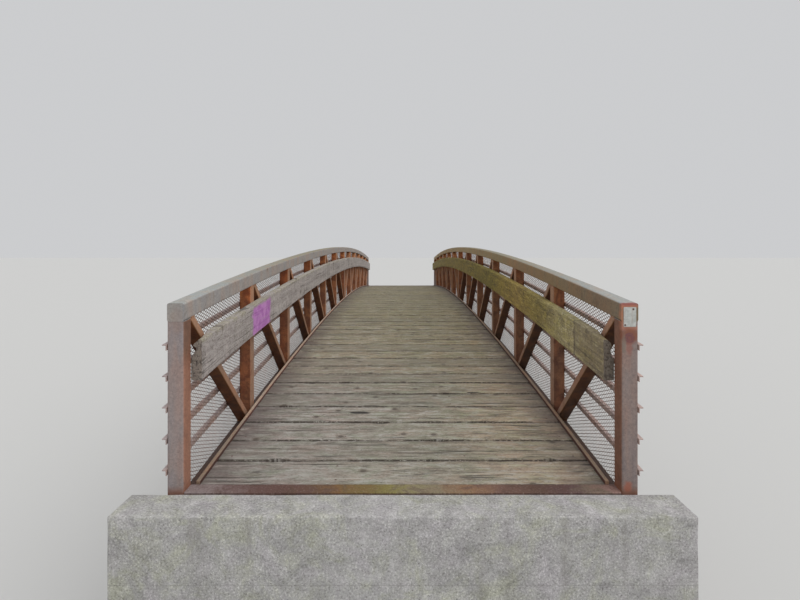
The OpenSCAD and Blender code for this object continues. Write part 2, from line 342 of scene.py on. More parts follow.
# %% Marks on the end posts
def spot(tree, place, centre, size, soft=0.35):
    """A mask that is 1 inside an egg of the given half sizes about a point, and 0 outside it."""
    local = node(tree, "Mapping", {"Vector": place, "Location": centre, "Scale": size},
                 vector_type="TEXTURE")
    distance = node(tree, "VectorMath", {0: local.outputs["Vector"]}, operation="LENGTH").outputs["Value"]
    return between(tree, distance, 1.0 + soft, 1.0 - soft)


def wavering(tree, place, amount, scale):
    """The place, shaken by noise, so that a mask drawn with it has a ragged edge."""
    shake = node(tree, "TexNoise", {"Vector": place, "Scale": scale, "Detail": 3.0}).outputs["Color"]
    centred = node(tree, "VectorMath", {0: shake, 1: (0.5, 0.5, 0.5)},
                   operation="SUBTRACT").outputs["Vector"]
    scaled = node(tree, "VectorMath", {0: centred, 1: (amount,) * 3},
                  operation="MULTIPLY").outputs["Vector"]
    return node(tree, "VectorMath", {0: place, 1: scaled}, operation="ADD").outputs["Vector"]


plate_middle = (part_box("bare_plate")[0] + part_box("bare_plate")[1]) / 2
entrance = -half_length
# Heights on the posts: under the chord, where the left one's inner face turns from paler to darker, the rust
# at the feet
under_chord, inner_face_turn, foot_rust = (2.350, 2.345), (2.02, 2.22), (1.445, 1.39)
post_front = (7.50, 7.52)


def marked_steel(name, right_side, *shades_and_shares, **more):
    material, tree, shader, colour, place, grains = steel_finish(name, *shades_and_shares, **more)
    ragged = wavering(tree, place, 0.03, 28.0)
    ring_ragged = wavering(tree, place, 0.008, 60.0)
    across, along, height = axes_of(tree, place)
    facing = facing_of(tree)
    # The right side's faces, all but the tops, are made darker and browner: partly rust, partly painted shade
    right_rust_and_painted_shade = times(tree, between(tree, across, -0.1, 0.1), between(tree, facing[UP], 0.8, 0.3))
    colour = product(tree, colour, tint(tree, right_rust_and_painted_shade, (1.0, 1.0, 1.0, 1), (*right_side, 1)))
    # The left post's inner face is made paler below and darker above
    left_inner = times(tree, between(tree, facing[ACROSS], 0.4, 0.9), between(tree, across, 0.1, -0.1))
    left_inner = times(tree, left_inner, between(tree, height, *under_chord))
    paler_below_darker_above = tint(tree, between(tree, height, *inner_face_turn), (1.22, 1.34, 1.48, 1), (0.80, 0.80, 0.78, 1))
    colour = product(tree, colour, paler_below_darker_above, left_inner)
    foot = times(tree, between(tree, height, *foot_rust),
                 between(tree, sums(tree, "ABSOLUTE", along), *post_front))
    right_foot = spot(tree, ragged, (1.256, entrance, 1.432), (0.022, 0.05, 0.029), 0.5)
    colour = cover(tree, colour, (foot, 0.75, (0.22, 0.080, 0.040)),
                   (right_foot, 0.75, (0.36, 0.110, 0.060)))
    # Each mark: its middle across and up, half its width and height, how strong it is and its shade
    x, z = plate_middle.x, plate_middle.z
    for centre_x, centre_z, half_x, half_z, share, shade in (
            (x - 0.010, z + 0.060, 0.058, 0.018, 0.80, (0.46, 0.160, 0.095)),
            (x + 0.002, z + 0.072, 0.060, 0.010, 0.60, (0.30, 0.085, 0.090)),
            (x - 0.043, z - 0.002, 0.010, 0.060, 0.65, (0.47, 0.185, 0.100)),
            (x, z - 0.062, 0.058, 0.016, 0.75, (0.44, 0.180, 0.115)),
            (x, z - 0.105, 0.058, 0.042, 0.88, (0.225, 0.074, 0.038)),
            (x - 0.002, z - 0.118, 0.026, 0.030, 0.60, (0.165, 0.058, 0.062)),
            (x - 0.004, z - 0.170, 0.016, 0.040, 0.60, (0.270, 0.100, 0.075)),
            (x - 0.033, z - 0.150, 0.012, 0.055, 0.55, (0.185, 0.160, 0.125)),
            (-x + 0.010, 2.36, 0.034, 0.075, 0.35, (0.300, 0.190, 0.140))):
        mark = spot(tree, ragged, (centre_x, entrance, centre_z), (half_x, 0.030, half_z), 0.4)
        colour = cover(tree, colour, (mark, share, shade))
    ring_place = (x - 0.001, entrance, z - 0.117)
    _, _, fleck = grains
    for outer, inner in ((0.028, 0.022), (0.016, 0.011)):
        ring = sums(tree, "SUBTRACT", spot(tree, ring_ragged, ring_place, (outer, 0.05, outer), 0.12),
                    spot(tree, ring_ragged, ring_place, (inner, 0.05, inner), 0.14), clamp=True)
        ring = times(tree, ring, between(tree, fleck, 0.38, 0.56))
        colour = cover(tree, colour, (ring, 0.65, (0.120, 0.050, 0.075)))
    close_steel(tree, shader, colour, grains)
    return material


# The chord tops are paler and bluer by the entrance as painted sheen; the darker right side is partly painted
# shade, and the ramps along the sides carry painted light and shade as well as tone
chord_steel = marked_steel("weathered_top_chord", (0.60, 0.545, 0.41), (0.150, 0.114, 0.090),
                           (0.245, 0.202, 0.172),
                           (0.335, 0.318, 0.300), 0.95, 0.85, rubbed=(0.395, 0.360, 0.338), inward=0.80,
                           flecks=0.12, streaks=0.2,
                           top_along=((-7.3, 1.08, 1.16, 1.16), (-6.4, 0.92, 0.94, 0.86),
                                      (-5.2, 0.84, 0.80, 0.62), (-1.8, 0.68, 0.64, 0.42)),
                           right_along=((-7.3, 1.12, 1.0, 0.88), (-6.2, 1.38, 1.15, 0.78),
                                        (-5.3, 1.50, 1.16, 0.82),
                                        (-4.3, 1.54, 1.38, 0.92), (-1.8, 1.75, 1.52, 1.0)))
post_steel = marked_steel("weathered_end_posts", (0.86, 0.80, 0.76), (0.150, 0.068, 0.042),
                          (0.275, 0.145, 0.098),
                          (0.290, 0.242, 0.232), 0.9, 0.95, rubbed=(0.28, 0.135, 0.084), inward=0.7,
                          flecks=0.12, streaks=0.3)
print("marked steels painted")

# %% [markdown]
# The end beam's top edge has worn into bands of mauve, dark red, ochre and yellow. A ramp across the
# bridge lays them out, and noise breaks their edges.

# %% Steel of the end beams
clear_half = 1.22
beam_edge = (1.385, 1.398)
beam_steel, tree, shader, colour, place, grains = steel_finish(
    "end_beam_steel", (0.085, 0.034, 0.024), (0.135, 0.056, 0.034), (0.205, 0.150, 0.135), 0.55, 0.55)
axes = axes_of(tree, place)
broad, patch, _ = grains
shifted = sums(tree, "ADD", axes[ACROSS], times(tree, sums(tree, "SUBTRACT", patch, 0.5), 0.55))
share = node(tree, "MapRange",
             {"Value": shifted, "From Min": -clear_half, "From Max": clear_half}).outputs["Result"]
bands = shades(tree, share, (0.0, 0.255, 0.205, 0.205), (0.06, 0.235, 0.185, 0.180),
               (0.105, 0.156, 0.098, 0.092),
               (0.15, 0.105, 0.050, 0.043), (0.24, 0.103, 0.043, 0.031), (0.30, 0.115, 0.055, 0.020),
               (0.34, 0.18, 0.085, 0.015), (0.43, 0.18, 0.137, 0.025), (0.48, 0.235, 0.21, 0.048),
               (0.52, 0.25, 0.22, 0.10), (0.56, 0.23, 0.19, 0.11), (0.65, 0.26, 0.14, 0.065),
               (0.72, 0.155, 0.076, 0.055), (0.80, 0.090, 0.040, 0.023), (0.88, 0.095, 0.044, 0.044),
               (0.93, 0.18, 0.13, 0.09), (0.97, 0.30, 0.175, 0.145))
worn_top = times(tree, between(tree, axes[UP], *beam_edge), between(tree, broad, 0.05, 0.3))
colour = tint(tree, times(tree, worn_top, 0.85), colour, bands)
scuffs = grain(tree, place, (75.0, 110.0, 20.0), 5.0, 0.75)
colour = cover(tree, colour,
               (between(tree, patch, 0.50, 0.66), 0.55, (0.075, 0.040, 0.030)),
               (between(tree, scuffs, 0.52, 0.64), 0.65, (0.060, 0.036, 0.028)),
               (between(tree, scuffs, 0.46, 0.34), 0.45, (0.40, 0.32, 0.28)))
close_steel(tree, shader, colour, grains)
print("end beam painted:", len(tree.nodes), "nodes")

# %% [markdown]
# Shapes are made with the modelling tools themselves. These helpers wrap the ones used again and
# again: a box, a bevel, a cut through everything, and the steps that turn finished work into a mesh.

# %% Helpers for shapes
pieces = []
hairline = 0.0001


def reach(edge, axis):
    """How far an edge goes along one axis."""
    return abs(edge.verts[0].co[axis] - edge.verts[1].co[axis])


def box(bm, size, middle):
    made = bmesh.ops.create_cube(bm, size=1)["verts"]
    bmesh.ops.scale(bm, verts=made, vec=size)
    bmesh.ops.translate(bm, verts=made, vec=middle)
    return made


def bevel(bm, edges, offset, segments):
    return bmesh.ops.bevel(bm, geom=edges, offset=offset, offset_type="OFFSET", segments=segments,
                           profile=0.5, affect="EDGES", clamp_overlap=True, material=-1)


def round_edges(bm, edges, radius, segments=3):
    for face in bevel(bm, edges, radius, segments)["faces"]:
        face.smooth = True


def cut_through(bm, point, direction):
    """Cuts every face that a plane meets, and keeps both sides."""
    bmesh.ops.bisect_plane(bm, geom=bm.verts[:] + bm.edges[:] + bm.faces[:], dist=hairline,
                           plane_co=point, plane_no=direction)


def as_mesh(bm, name):
    mesh = bpy.data.meshes.new(name)
    bm.to_mesh(mesh)
    bm.free()
    return mesh


def pour(bm, one):
    """Adds one finished board to the rest."""
    board = as_mesh(one, "board")
    bm.from_mesh(board)
    bpy.data.meshes.remove(board)


def into_scene(name, data):
    made = bpy.data.objects.new(name, data)
    bpy.context.scene.collection.objects.link(made)
    return made


def put_out(bm, name, finish, slot, *nodes):
    """Makes the mesh a piece of the bridge that stands for the given nodes of the model."""
    mesh = as_mesh(bm, name)
    mesh.materials.append(finish)
    piece = into_scene(name, mesh)
    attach(piece, "root")
    if nodes:
        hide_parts(*nodes)
    pieces.append(piece)
    return piece


print("shape helpers ready")

# %% [markdown]
# Every square tube on the bridge is the same kind of thing: a closed section with rounded corners,
# welded at its ends. The model has them with sharp corners and exact ends, so a copy of the model's
# own solid is the safest start. Its loose triangles are joined, its flat faces are made whole, and
# only the edges that run along the tube are rounded with a bevel.

# %% Round the corners of a tube
same_point = 0.00002


def joined_copy(name, flat=1.0):
    """The model's solid as one joined shell, with faces that lie within the flat angle made whole."""
    bm = bmesh.new()
    bm.from_mesh(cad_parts[name].data)
    bmesh.ops.remove_doubles(bm, verts=bm.verts, dist=same_point)
    bmesh.ops.dissolve_limit(bm, angle_limit=radians(flat), verts=bm.verts, edges=bm.edges)
    return bm


def edges_along(bm, direction, spread=0.995, corner=1.2):
    """Edges that run in a direction and have a real corner between their faces."""
    found = []
    for edge in bm.edges:
        run = (edge.verts[1].co - edge.verts[0].co).normalized()
        if len(edge.link_faces) == 2 and abs(run.dot(direction)) > spread and edge.calc_face_angle() > corner:
            found.append(edge)
    return found


tube_corner = 0.011
ends = [f"{end}_{side}" for end in ("near", "far") for side in sides]
weld_loops = {"left": [], "right": []}
post_loops = {"left": [], "right": []}


def cap_loops(bm, is_cap):
    """The outlines of the faces where a tube meets its neighbour, which is where it is welded."""
    return [[vert.co.copy() for vert in face.verts] for face in bm.faces if is_cap(face.normal)]


for name in ends:
    bm = joined_copy(f"{name}_end_post")
    round_edges(bm, edges_along(bm, Vector((0, 0, 1))), tube_corner, 4)
    side = name.split("_")[1]
    post_loops[side] += cap_loops(bm, lambda normal: normal.z > 0.9)
    put_out(bm, f"{name}_post_tube", post_steel, "truss_steel", f"{name}_end_post")
print("end posts rounded:", len(pieces))

# %% [markdown]
# A top chord is one long tube with a slow curve, closed at each end by a welded plate. A flat angle of
# only a twentieth of a degree keeps the short steps of its curve while it clears the triangles. The
# end plate is an inset on the end face, pushed back by a millimetre so that its seam catches light.

# %% Top and bottom chords
curve_angle = 0.05
end_plate_rim, end_plate_seam = 0.006, 0.0012


def chord(name, piece_name, finish, plates):
    bm = joined_copy(name, curve_angle)
    round_edges(bm, edges_along(bm, Vector((0, 1, 0))), tube_corner, 4)
    if plates:
        end_faces = [face for face in bm.faces if abs(face.normal.y) > 0.99]
        bmesh.ops.inset_individual(bm, faces=end_faces, thickness=end_plate_rim, depth=-end_plate_seam)
    return put_out(bm, piece_name, finish, "truss_steel", name)


for side in sides:
    chord(f"{side}_top_chord", f"{side}_top_tube", chord_steel, True)
    for third in ("near", "middle", "far"):
        chord(f"{third}_{side}_bottom_chord", f"{third}_{side}_bottom_tube", low_steel, False)
print("chords rounded:", len(pieces), "pieces so far")

# %% [markdown]
# The verticals are plumb and the diagonals lean, each at its own angle. A diagonal's long edges are
# found by leaving out everything level, plumb or across: what is left runs along the brace. The
# outlines of the cut ends are kept for the welds.

# %% Verticals and diagonals
web_corner = 0.008


def leaning_edges(bm):
    found = []
    for edge in bm.edges:
        run = (edge.verts[1].co - edge.verts[0].co).normalized()
        if edge.calc_length() > 0.4 and abs(run.x) < 0.01 and len(edge.link_faces) == 2:
            found.append(edge)
    return found


for side in sides:
    bm = joined_copy(f"{side}_verticals")
    round_edges(bm, edges_along(bm, Vector((0, 0, 1))), web_corner)
    weld_loops[side] += cap_loops(bm, lambda normal: abs(normal.z) > 0.9)
    put_out(bm, f"{side}_vertical_tubes", web_steel, "truss_steel", f"{side}_verticals")
    bm = joined_copy(f"{side}_diagonals")
    round_edges(bm, leaning_edges(bm), web_corner)
    weld_loops[side] += cap_loops(bm, lambda normal: abs(normal.z) > 0.97 or abs(normal.y) > 0.97)
    put_out(bm, f"{side}_diagonal_tubes", web_steel, "truss_steel", f"{side}_diagonals")
    print(side, "welds to lay:", len(weld_loops[side]))

# %% [markdown]
# A fillet weld is a thin uneven bead that runs round the joint. A curve with a round section is the
# natural tool: its points are the outline of the tube's end, cut into short steps, and its thickness
# changes a little at each point. The curve is turned into a mesh at the end. The posts' beads were
# ground nearly flush, so they are thinner.

# %% Weld beads
weld_step = 0.022
web_weld = 0.0042
post_weld = 0.0016


def short_steps(loop):
    """The loop's points, with more of them where it runs straight."""
    steps = []
    for here, there in zip(loop, loop[1:] + loop[:1]):
        count = max(1, round((there - here).length / weld_step))
        steps += [here.lerp(there, number / count) for number in range(count)]
    return steps


def weld_beads(name, loops, radius, finish):
    curve = bpy.data.curves.new(name, "CURVE")
    curve.dimensions = "3D"
    curve.bevel_depth = 1.0
    curve.bevel_resolution = 0
    for loop in loops:
        steps = short_steps(loop)
        spline = curve.splines.new("POLY")
        spline.points.add(len(steps) - 1)
        spline.use_cyclic_u = True
        spline.use_smooth = True
        for point, step in zip(spline.points, steps):
            point.co = (*step, 1)
            point.radius = radius * (1 + 0.35 * noise.noise(step * 60))
    bead = into_scene(name, curve)
    graph = bpy.context.evaluated_depsgraph_get()
    bm = bmesh.new()
    bm.from_mesh(bpy.data.meshes.new_from_object(bead.evaluated_get(graph)))
    bpy.data.objects.remove(bead)
    return put_out(bm, name, finish, "truss_steel")


for side in sides:
    weld_beads(f"{side}_post_welds", post_loops[side], post_weld, chord_steel)
    beads = weld_beads(f"{side}_weld_beads", weld_loops[side], web_weld, web_steel)
    print(side, "weld faces:", len(beads.data.polygons))

# %% [markdown]
# The floor under the planks is a grid of plain tubes, crossed by flat bars. The same bevel on copies
# of the model's solids is enough here, because it is only seen from below.

# %% Floor frame
def every_corner(bm, corner=1.2):
    return [edge for edge in bm.edges if len(edge.link_faces) == 2 and edge.calc_face_angle() > corner]


for name, radius in (("floor_beams", 0.007), ("inner_stringers", 0.006), ("outer_stringers", 0.006),
                     ("lateral_braces", 0.0015)):
    bm = joined_copy(name, curve_angle)
    round_edges(bm, every_corner(bm), radius, 2)
    put_out(bm, f"{name}_tubes", floor_steel, "floor_steel", name)
bm = joined_copy("end_beams")
round_edges(bm, edges_along(bm, Vector((1, 0, 0))), 0.006, 3)
put_out(bm, "end_beam_tubes", beam_steel, "floor_steel", "end_beams")
for side in sides:
    bm = joined_copy(f"{side}_toe_bar", curve_angle)
    round_edges(bm, every_corner(bm), 0.0025, 2)
    put_out(bm, f"{side}_toe_strip", toe_steel, "truss_steel", f"{side}_toe_bar")
    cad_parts[f"{side}_side_rails"].material_slots[0].material = rail_steel
print("floor frame done:", len(pieces), "pieces so far")

# %% [markdown]
# The side mesh is expanded metal: a sheet slit and pulled open, so that it becomes rows of zigzag
# strands that touch at their peaks. One straight strand is cut into half-diamond steps, bent into a
# zigzag, and copied up the panel with every second row upside down. Three faces round a strand are
# enough, since there are about fifty thousand openings.

# %% Expanded mesh
diamond_long = 0.0508
diamond_high = 0.0234
strand_radius = 0.0027
strand_flat = 0.60


def zigzag(y):
    """Goes from 0 to 1 and back over one diamond."""
    part = (y / diamond_long) % 1.0
    return 1 - abs(2 * part - 1)


def mesh_quarter(name):
    low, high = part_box(name)
    middle_x = (low.x + high.x) / 2
    lowest = -chord_drop - mesh_lap
    first = round(low.y / (diamond_long / 2))
    last = round(high.y / (diamond_long / 2))
    start, end = first * diamond_long / 2, last * diamond_long / 2
    bm = bmesh.new()
    made = bmesh.ops.create_cone(bm, cap_ends=True, segments=3, radius1=strand_radius,
                                 radius2=strand_radius, depth=end - start)
    bmesh.ops.rotate(bm, verts=made["verts"], cent=(0, 0, 0), matrix=Matrix.Rotation(pi / 2, 3, "X"))
    bmesh.ops.scale(bm, verts=made["verts"], vec=(strand_flat, 1, 1))
    bmesh.ops.translate(bm, verts=made["verts"], vec=(middle_x, (start + end) / 2, 0))
    lengthwise = [edge for edge in bm.edges if edge.calc_length() > 1]
    bmesh.ops.subdivide_edges(bm, edges=lengthwise, cuts=last - first - 1, use_grid_fill=False)
    strand = bm.verts[:] + bm.edges[:] + bm.faces[:]
    base = {vert: vert.co.z for vert in bm.verts}
    half = diamond_high / 2
    rows = int((chord_under + mesh_lap - lowest) / half)
    for row in range(1, rows):
        copy = bmesh.ops.duplicate(bm, geom=strand)["geom"]
        verts = [item for item in copy if isinstance(item, bmesh.types.BMVert)]
        for vert in verts:
            up = zigzag(vert.co.y) if row % 2 == 0 else 1 - zigzag(vert.co.y)
            vert.co.z += half * (row + up)
    for vert, height in base.items():
        vert.co.z = height + half * zigzag(vert.co.y)
    for vert in bm.verts:
        vert.co.z += deck_level(vert.co.y) + lowest
    for face in bm.faces:
        face.smooth = True
    return put_out(bm, name.replace("mesh_", "strands_"), mesh_steel, "mesh_steel", name)


strand_faces = 0
for side in sides:
    for quarter in range(1, 5):
        panel = mesh_quarter(f"{side}_mesh_{quarter}")
        strand_faces += len(panel.data.polygons)
print("mesh faces:", strand_faces)

# %% [markdown]
# The timber is old and grey. Its grain is noise pulled long and thin, knots are the points of a cell
# pattern, and the grain is bent round them by adding a hill to the distance across the board, which
# is what makes the pointed loops of flat-sawn wood. Long dark checks follow the contours of a second
# noise. Each board carries its own number, so that no two have the same grain.

# %% Grain of weathered timber
def timber_grain(tree, along, across, depth, number):
    along = sums(tree, "ADD", along, times(tree, number, 17.3))
    across = sums(tree, "ADD", across, times(tree, number, 5.7))
    flat = node(tree, "CombineXYZ", {"X": along, "Y": across, "Z": 0.0}).outputs["Vector"]
    cells = node(tree, "TexVoronoi", {"Vector": stretched(tree, flat, (0.8, 1.0, 1.0)), "Scale": 2.5,
                                      "Randomness": 1.0}, voronoi_dimensions="2D", feature="F1")
    distance = cells.outputs["Distance"]
    hill = between(tree, distance, 0.26, 0.0)
    hill = times(tree, hill, hill)
    knots = between(tree, distance, 0.050, 0.026)
    rings = between(tree, distance, 0.085, 0.050)
    wander = node(tree, "TexNoise", {"Vector": stretched(tree, flat, (0.9, 3.0, 1.0)), "Scale": 1.0,
                                     "Detail": 2.0}).outputs["Fac"]
    bent = sums(tree, "ADD", across, times(tree, wander, 0.10))
    bent = sums(tree, "ADD", bent, times(tree, hill, 0.055))
    bent_run = node(tree, "CombineXYZ", {"X": along, "Y": bent, "Z": depth}).outputs["Vector"]
    fine = grain(tree, bent_run, (2.2, 150.0, 90.0), 4.0, 0.62)
    bands = grain(tree, bent_run, (0.8, 26.0, 20.0), 4.0, 0.6)
    straight = sums(tree, "ADD", across, times(tree, wander, 0.06))
    plain_run = node(tree, "CombineXYZ", {"X": along, "Y": straight, "Z": depth}).outputs["Vector"]
    split = grain(tree, plain_run, (0.60, 34.0, 4.0), 2.0, 0.5)
    checks = between(tree, sums(tree, "ABSOLUTE", sums(tree, "SUBTRACT", split, 0.5)), 0.020, 0.004)
    broken = grain(tree, flat, (2.2, 9.0, 1.0), 3.0)
    checks = times(tree, checks, between(tree, broken, 0.47, 0.56))
    return fine, bands, knots, rings, checks


print("timber grain ready")

# %% [markdown]
# The deck is walked on and rained on. It is grey brown, with mauve on the left by the entrance, olive
# in the middle with painted shade further on, tan to the right, dark and damp beside the toe bars,
# with dark knots and checks.

# %% Finish of the deck planks
deck_finish, tree, shader, place = new_finish("weathered_deck_planks")
across, along, up = axes_of(tree, place)
number = board_value(tree, "plank_number")
fine, bands, knots, rings, checks = timber_grain(tree, across, along, up, number)
tone = cloud(tree, place, 0.9, 4.0, 0.6, 0.5)
soiled = cloud(tree, stretched(tree, place, (1.0, 2.2, 1.0)), 3.6, 5.0, 0.65, 0.8)
plank_shade = node(tree, "TexWhiteNoise", {"W": number}, noise_dimensions="1D").outputs["Value"]
colour = shades(tree, bands, (0.22, 0.150, 0.122, 0.096), (0.45, 0.240, 0.212, 0.178),
                (0.75, 0.350, 0.325, 0.285))
left_tone = tint(tree, between(tree, across, 0.5, -1.1), (1.16, 1.20, 1.06, 1), (1.30, 1.32, 1.42, 1))
warm_side = cover(tree, left_tone,
                  (between(tree, across, 0.1, 1.1), between(tree, tone, 0.3, 0.6), (1.48, 1.36, 1.14)))
colour = product(tree, colour, warm_side)
faded = sums(tree, "ADD", between(tree, tone, 0.50, 0.72), between(tree, along, -5.5, -1.0), clamp=True)
colour = cover(tree, colour, (faded, 0.40, (0.29, 0.272, 0.200)))
# Darker and yellower along the bridge: its own olive tone, and painted shade further on
colour = light_and_tone_along(tree, colour, along, 1.0, (-7.6, 1.06, 1.07, 1.09), (-6.2, 1.0, 1.0, 0.97),
                    (-5.5, 1.02, 0.94, 0.78), (-4.8, 0.90, 0.84, 0.62), (-3.0, 0.80, 0.74, 0.44))
near_right = times(tree, between(tree, across, 0.25, 0.75), between(tree, along, -5.4, -6.2))
colour = product(tree, colour, (1.26, 1.20, 1.14, 1), near_right)
hues = cloud(tree, stretched(tree, place, (1.0, 2.6, 1.0)), 5.5, 4.0, 0.6, 0.6)
colour = swayed(tree, colour, hues, (0.34, 0.90, 1.0, 0.88), (0.64, 1.09, 0.97, 0.96), 0.49)
colour = cover(tree, colour,
               (between(tree, soiled, 0.50, 0.68), 0.42, (0.135, 0.108, 0.085)),
               (between(tree, soiled, 0.46, 0.28), 0.40, (0.41, 0.395, 0.37)),
               (between(tree, fine, 0.50, 0.30), 0.68, (0.085, 0.070, 0.055)),
               (between(tree, fine, 0.55, 0.74), 0.60, (0.54, 0.515, 0.475)))
mottle = grain(tree, place, (8.0, 34.0, 1.0), 6.0, 0.75, 0.3)
colour = cover(tree, colour,
               (between(tree, mottle, 0.51, 0.62), 0.50, (0.125, 0.102, 0.080)),
               (between(tree, mottle, 0.49, 0.37), 0.50, (0.56, 0.545, 0.510)))
speck = grain(tree, place, (60.0, 110.0, 1.0), 3.0, 0.65)
colour = cover(tree, colour,
               (between(tree, speck, 0.57, 0.68), 0.66, (0.080, 0.064, 0.050)),
               (between(tree, speck, 0.42, 0.32), 0.58, (0.52, 0.50, 0.46)))
edge_damp = times(tree, between(tree, sums(tree, "ABSOLUTE", across), 0.86, 1.15),
                  between(tree, soiled, 0.34, 0.52))
colour = cover(tree, colour,
               (edge_damp, 0.62, (0.112, 0.080, 0.080)),
               (rings, 0.40, (0.150, 0.108, 0.078)),
               (knots, 0.75, (0.060, 0.043, 0.034)),
               (checks, 0.85, (0.030, 0.024, 0.019)),
               (plank_shade, 0.42, (0.175, 0.158, 0.125)))
towards_joint = board_value(tree, "towards_joint")
packed_dirt = cloud(tree, stretched(tree, place, (2.6, 1.0, 1.0)), 1.3, 4.0, 0.7)
dirty_joint = times(tree, between(tree, towards_joint, 0.86, 0.98), between(tree, speck, 0.32, 0.52))
dirty_joint = times(tree, dirty_joint, between(tree, packed_dirt, 0.34, 0.50))
torn = wavering(tree, place, 0.03, 22.0)
left_split = spot(tree, torn, (-0.33, -6.535, 1.48), (0.080, 0.020, 0.1), 0.2)
right_split = spot(tree, torn, (0.62, -6.11, 1.50), (0.060, 0.012, 0.1), 0.3)
long_split = sums(tree, "MAXIMUM", left_split, right_split)
colour = cover(tree, colour, (dirty_joint, 0.90, (0.050, 0.038, 0.030)),
               (long_split, 0.94, (0.018, 0.014, 0.012)))
rough = from_to(tree, fine, 0.72, 0.92)
cracks = sums(tree, "ADD", times(tree, checks, 1.3), times(tree, long_split, 2.0))
raised = sums(tree, "ADD", times(tree, fine, 0.8), times(tree, bands, 0.6))
height = sums(tree, "SUBTRACT", raised, sums(tree, "ADD", cracks, times(tree, knots, 0.35)))
close(tree, shader, colour, rough, height, 0.0036, 0.9)
print("deck finish:", len(tree.nodes), "nodes")

# %% [markdown]
# A plank starts as a box. Its long edges are rounded, it is cut into short squares, and then every
# point moves a little: the board cups, its edges wander, its ends are ragged and its top is never
# quite flat. Nothing rises above the model's deck. The first joints from the entrance are placed
# where the photograph shows them, and the rest share each run of the deck evenly.

# %% Planks
plank_thick = 0.064
plank_gap = 0.0042
plank_edge = 0.005
planks_in_run = 9
board_corner = 38
near_cuts, far_cuts = 143, 47
entrance_joints = [-7.252, -6.990, -6.704, -6.420, -6.142, -5.872, -5.622, -5.380]
# Places where an edge is chipped or split: joint, place across, half length, depth
chips_at = [(-7.252, -0.80, 0.080, 0.020), (-7.252, 0.18, 0.034, 0.014), (-7.252, 0.937, 0.045, 0.022),
            (-6.990, 0.24, 0.050, 0.014), (-6.990, -0.33, 0.040, 0.012), (-6.420, -0.95, 0.110, 0.015),
            (-6.704, 0.62, 0.060, 0.012), (-6.142, 0.35, 0.080, 0.013), (-5.872, -0.52, 0.070, 0.014)]


def one_plank(low_x, high_x, start, end, cuts):
    """A board with its long upper edges rounded, cut into short squares."""
    bm = bmesh.new()
    box(bm, (high_x - low_x, end - start, plank_thick),
        ((low_x + high_x) / 2, (start + end) / 2, -plank_thick / 2))
    top_long = [edge for edge in bm.edges if all(vert.co.z > -0.001 for vert in edge.verts)
                and reach(edge, ALONG) < 0.001]
    bevel(bm, top_long, plank_edge, 2)
    crosswise = [edge for edge in bm.edges if reach(edge, ACROSS) > 0.5]
    bmesh.ops.subdivide_edges(bm, edges=crosswise, cuts=cuts, use_grid_fill=True)
    widthwise = [edge for edge in bm.edges if reach(edge, ALONG) > 0.1]
    bmesh.ops.subdivide_edges(bm, edges=widthwise, cuts=4, use_grid_fill=True)
    return bm


def run_borders(run):
    """Where the planks of one run of the deck begin and end."""
    low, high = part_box(f"deck_{run}")
    even = [low.y + (high.y - low.y) * count / planks_in_run for count in range(1, planks_in_run)]
    return [low.y, *(entrance_joints if run == 1 else even), high.y]


def wear_edge(vert, place_on, number):
    """Moves a point on a long edge: the chips listed above, and a line that wanders."""
    for joint, chip_x, half_chip, depth in chips_at:
        off = abs(vert.co.x - chip_x) / half_chip
        if off < 1 and abs(place_on) > 0.9 and abs(vert.co.y - joint) < 0.02:
            vert.co.y += (1 - off * off) * depth * (1 if place_on < 0 else -0.4)
    if abs(place_on) > 0.95:
        slow = noise.noise(Vector((vert.co.x * 2.1, number * 7.7, place_on)))
        quick = noise.noise(Vector((vert.co.x * 14, number * 1.9, place_on)))
        vert.co.y -= (0.0018 + 0.0042 * slow + 0.0016 * quick) * place_on


def wear_plank(one, number, start, end, end_x):
    """Cups and tilts a board, wears its edges and ends, and dents its top."""
    towards_joint = one.verts.layers.float.new("towards_joint")
    middle, half_width = (start + end) / 2, (end - start) / 2
    seed = Vector((number * 3.17, 0, 0))
    cup = 0.0022 * noise.noise(seed + Vector((0, 4, 0)))
    lean = 0.0030 * noise.noise(seed + Vector((0, 0, 9)))
    for vert in one.verts:
        place_on = (vert.co.y - middle) / half_width
        vert[towards_joint] = abs(place_on)
        ripple = noise.noise(Vector((vert.co.x * 1.4, number * 2.3, 0)))
        wear_edge(vert, place_on, number)
        if abs(abs(vert.co.x) - end_x) < 0.001:
            vert.co.x *= 1 - 0.0018 * (1 + noise.noise(Vector((number * 5.1, vert.co.y * 9, vert.co.x))))
        if vert.co.z > -0.03:
            dent = max(0.0, noise.noise(Vector((vert.co.x * 9, number * 4.4, place_on * 2))) - 0.28)
            edge_share = max(0.0, abs(place_on) - 0.6) / 0.4
            vert.co.z += (-0.0028 + cup * place_on**2 + lean * place_on + 0.0014 * ripple
                          - 0.012 * dent * edge_share)


def deck_run(run):
    name = f"deck_{run}"
    low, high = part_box(name)
    bm = bmesh.new()
    borders = run_borders(run)
    for count, (start, end) in enumerate(zip(borders, borders[1:])):
        number = run * planks_in_run + count
        start += plank_gap / 2 if count else 0
        end -= plank_gap / 2 if count < len(borders) - 2 else 0
        one = one_plank(low.x, high.x, start, end, near_cuts if run == 1 else far_cuts)
        wear_plank(one, number, start, end, high.x)
        plank_number = one.faces.layers.float.new("plank_number")
        for face in one.faces:
            face[plank_number] = float(number)
            face.smooth = True
        pour(bm, one)
    for vert in bm.verts:
        vert.co.z += deck_level(vert.co.y)
    piece = put_out(bm, name.replace("deck_", "planks_"), deck_finish, "deck_boards", name)
    piece.data.set_sharp_from_angle(angle=radians(board_corner))
    return piece


plank_faces = 0
for run in range(1, 7):
    plank_faces += len(deck_run(run).data.polygons)
print("plank faces:", plank_faces)

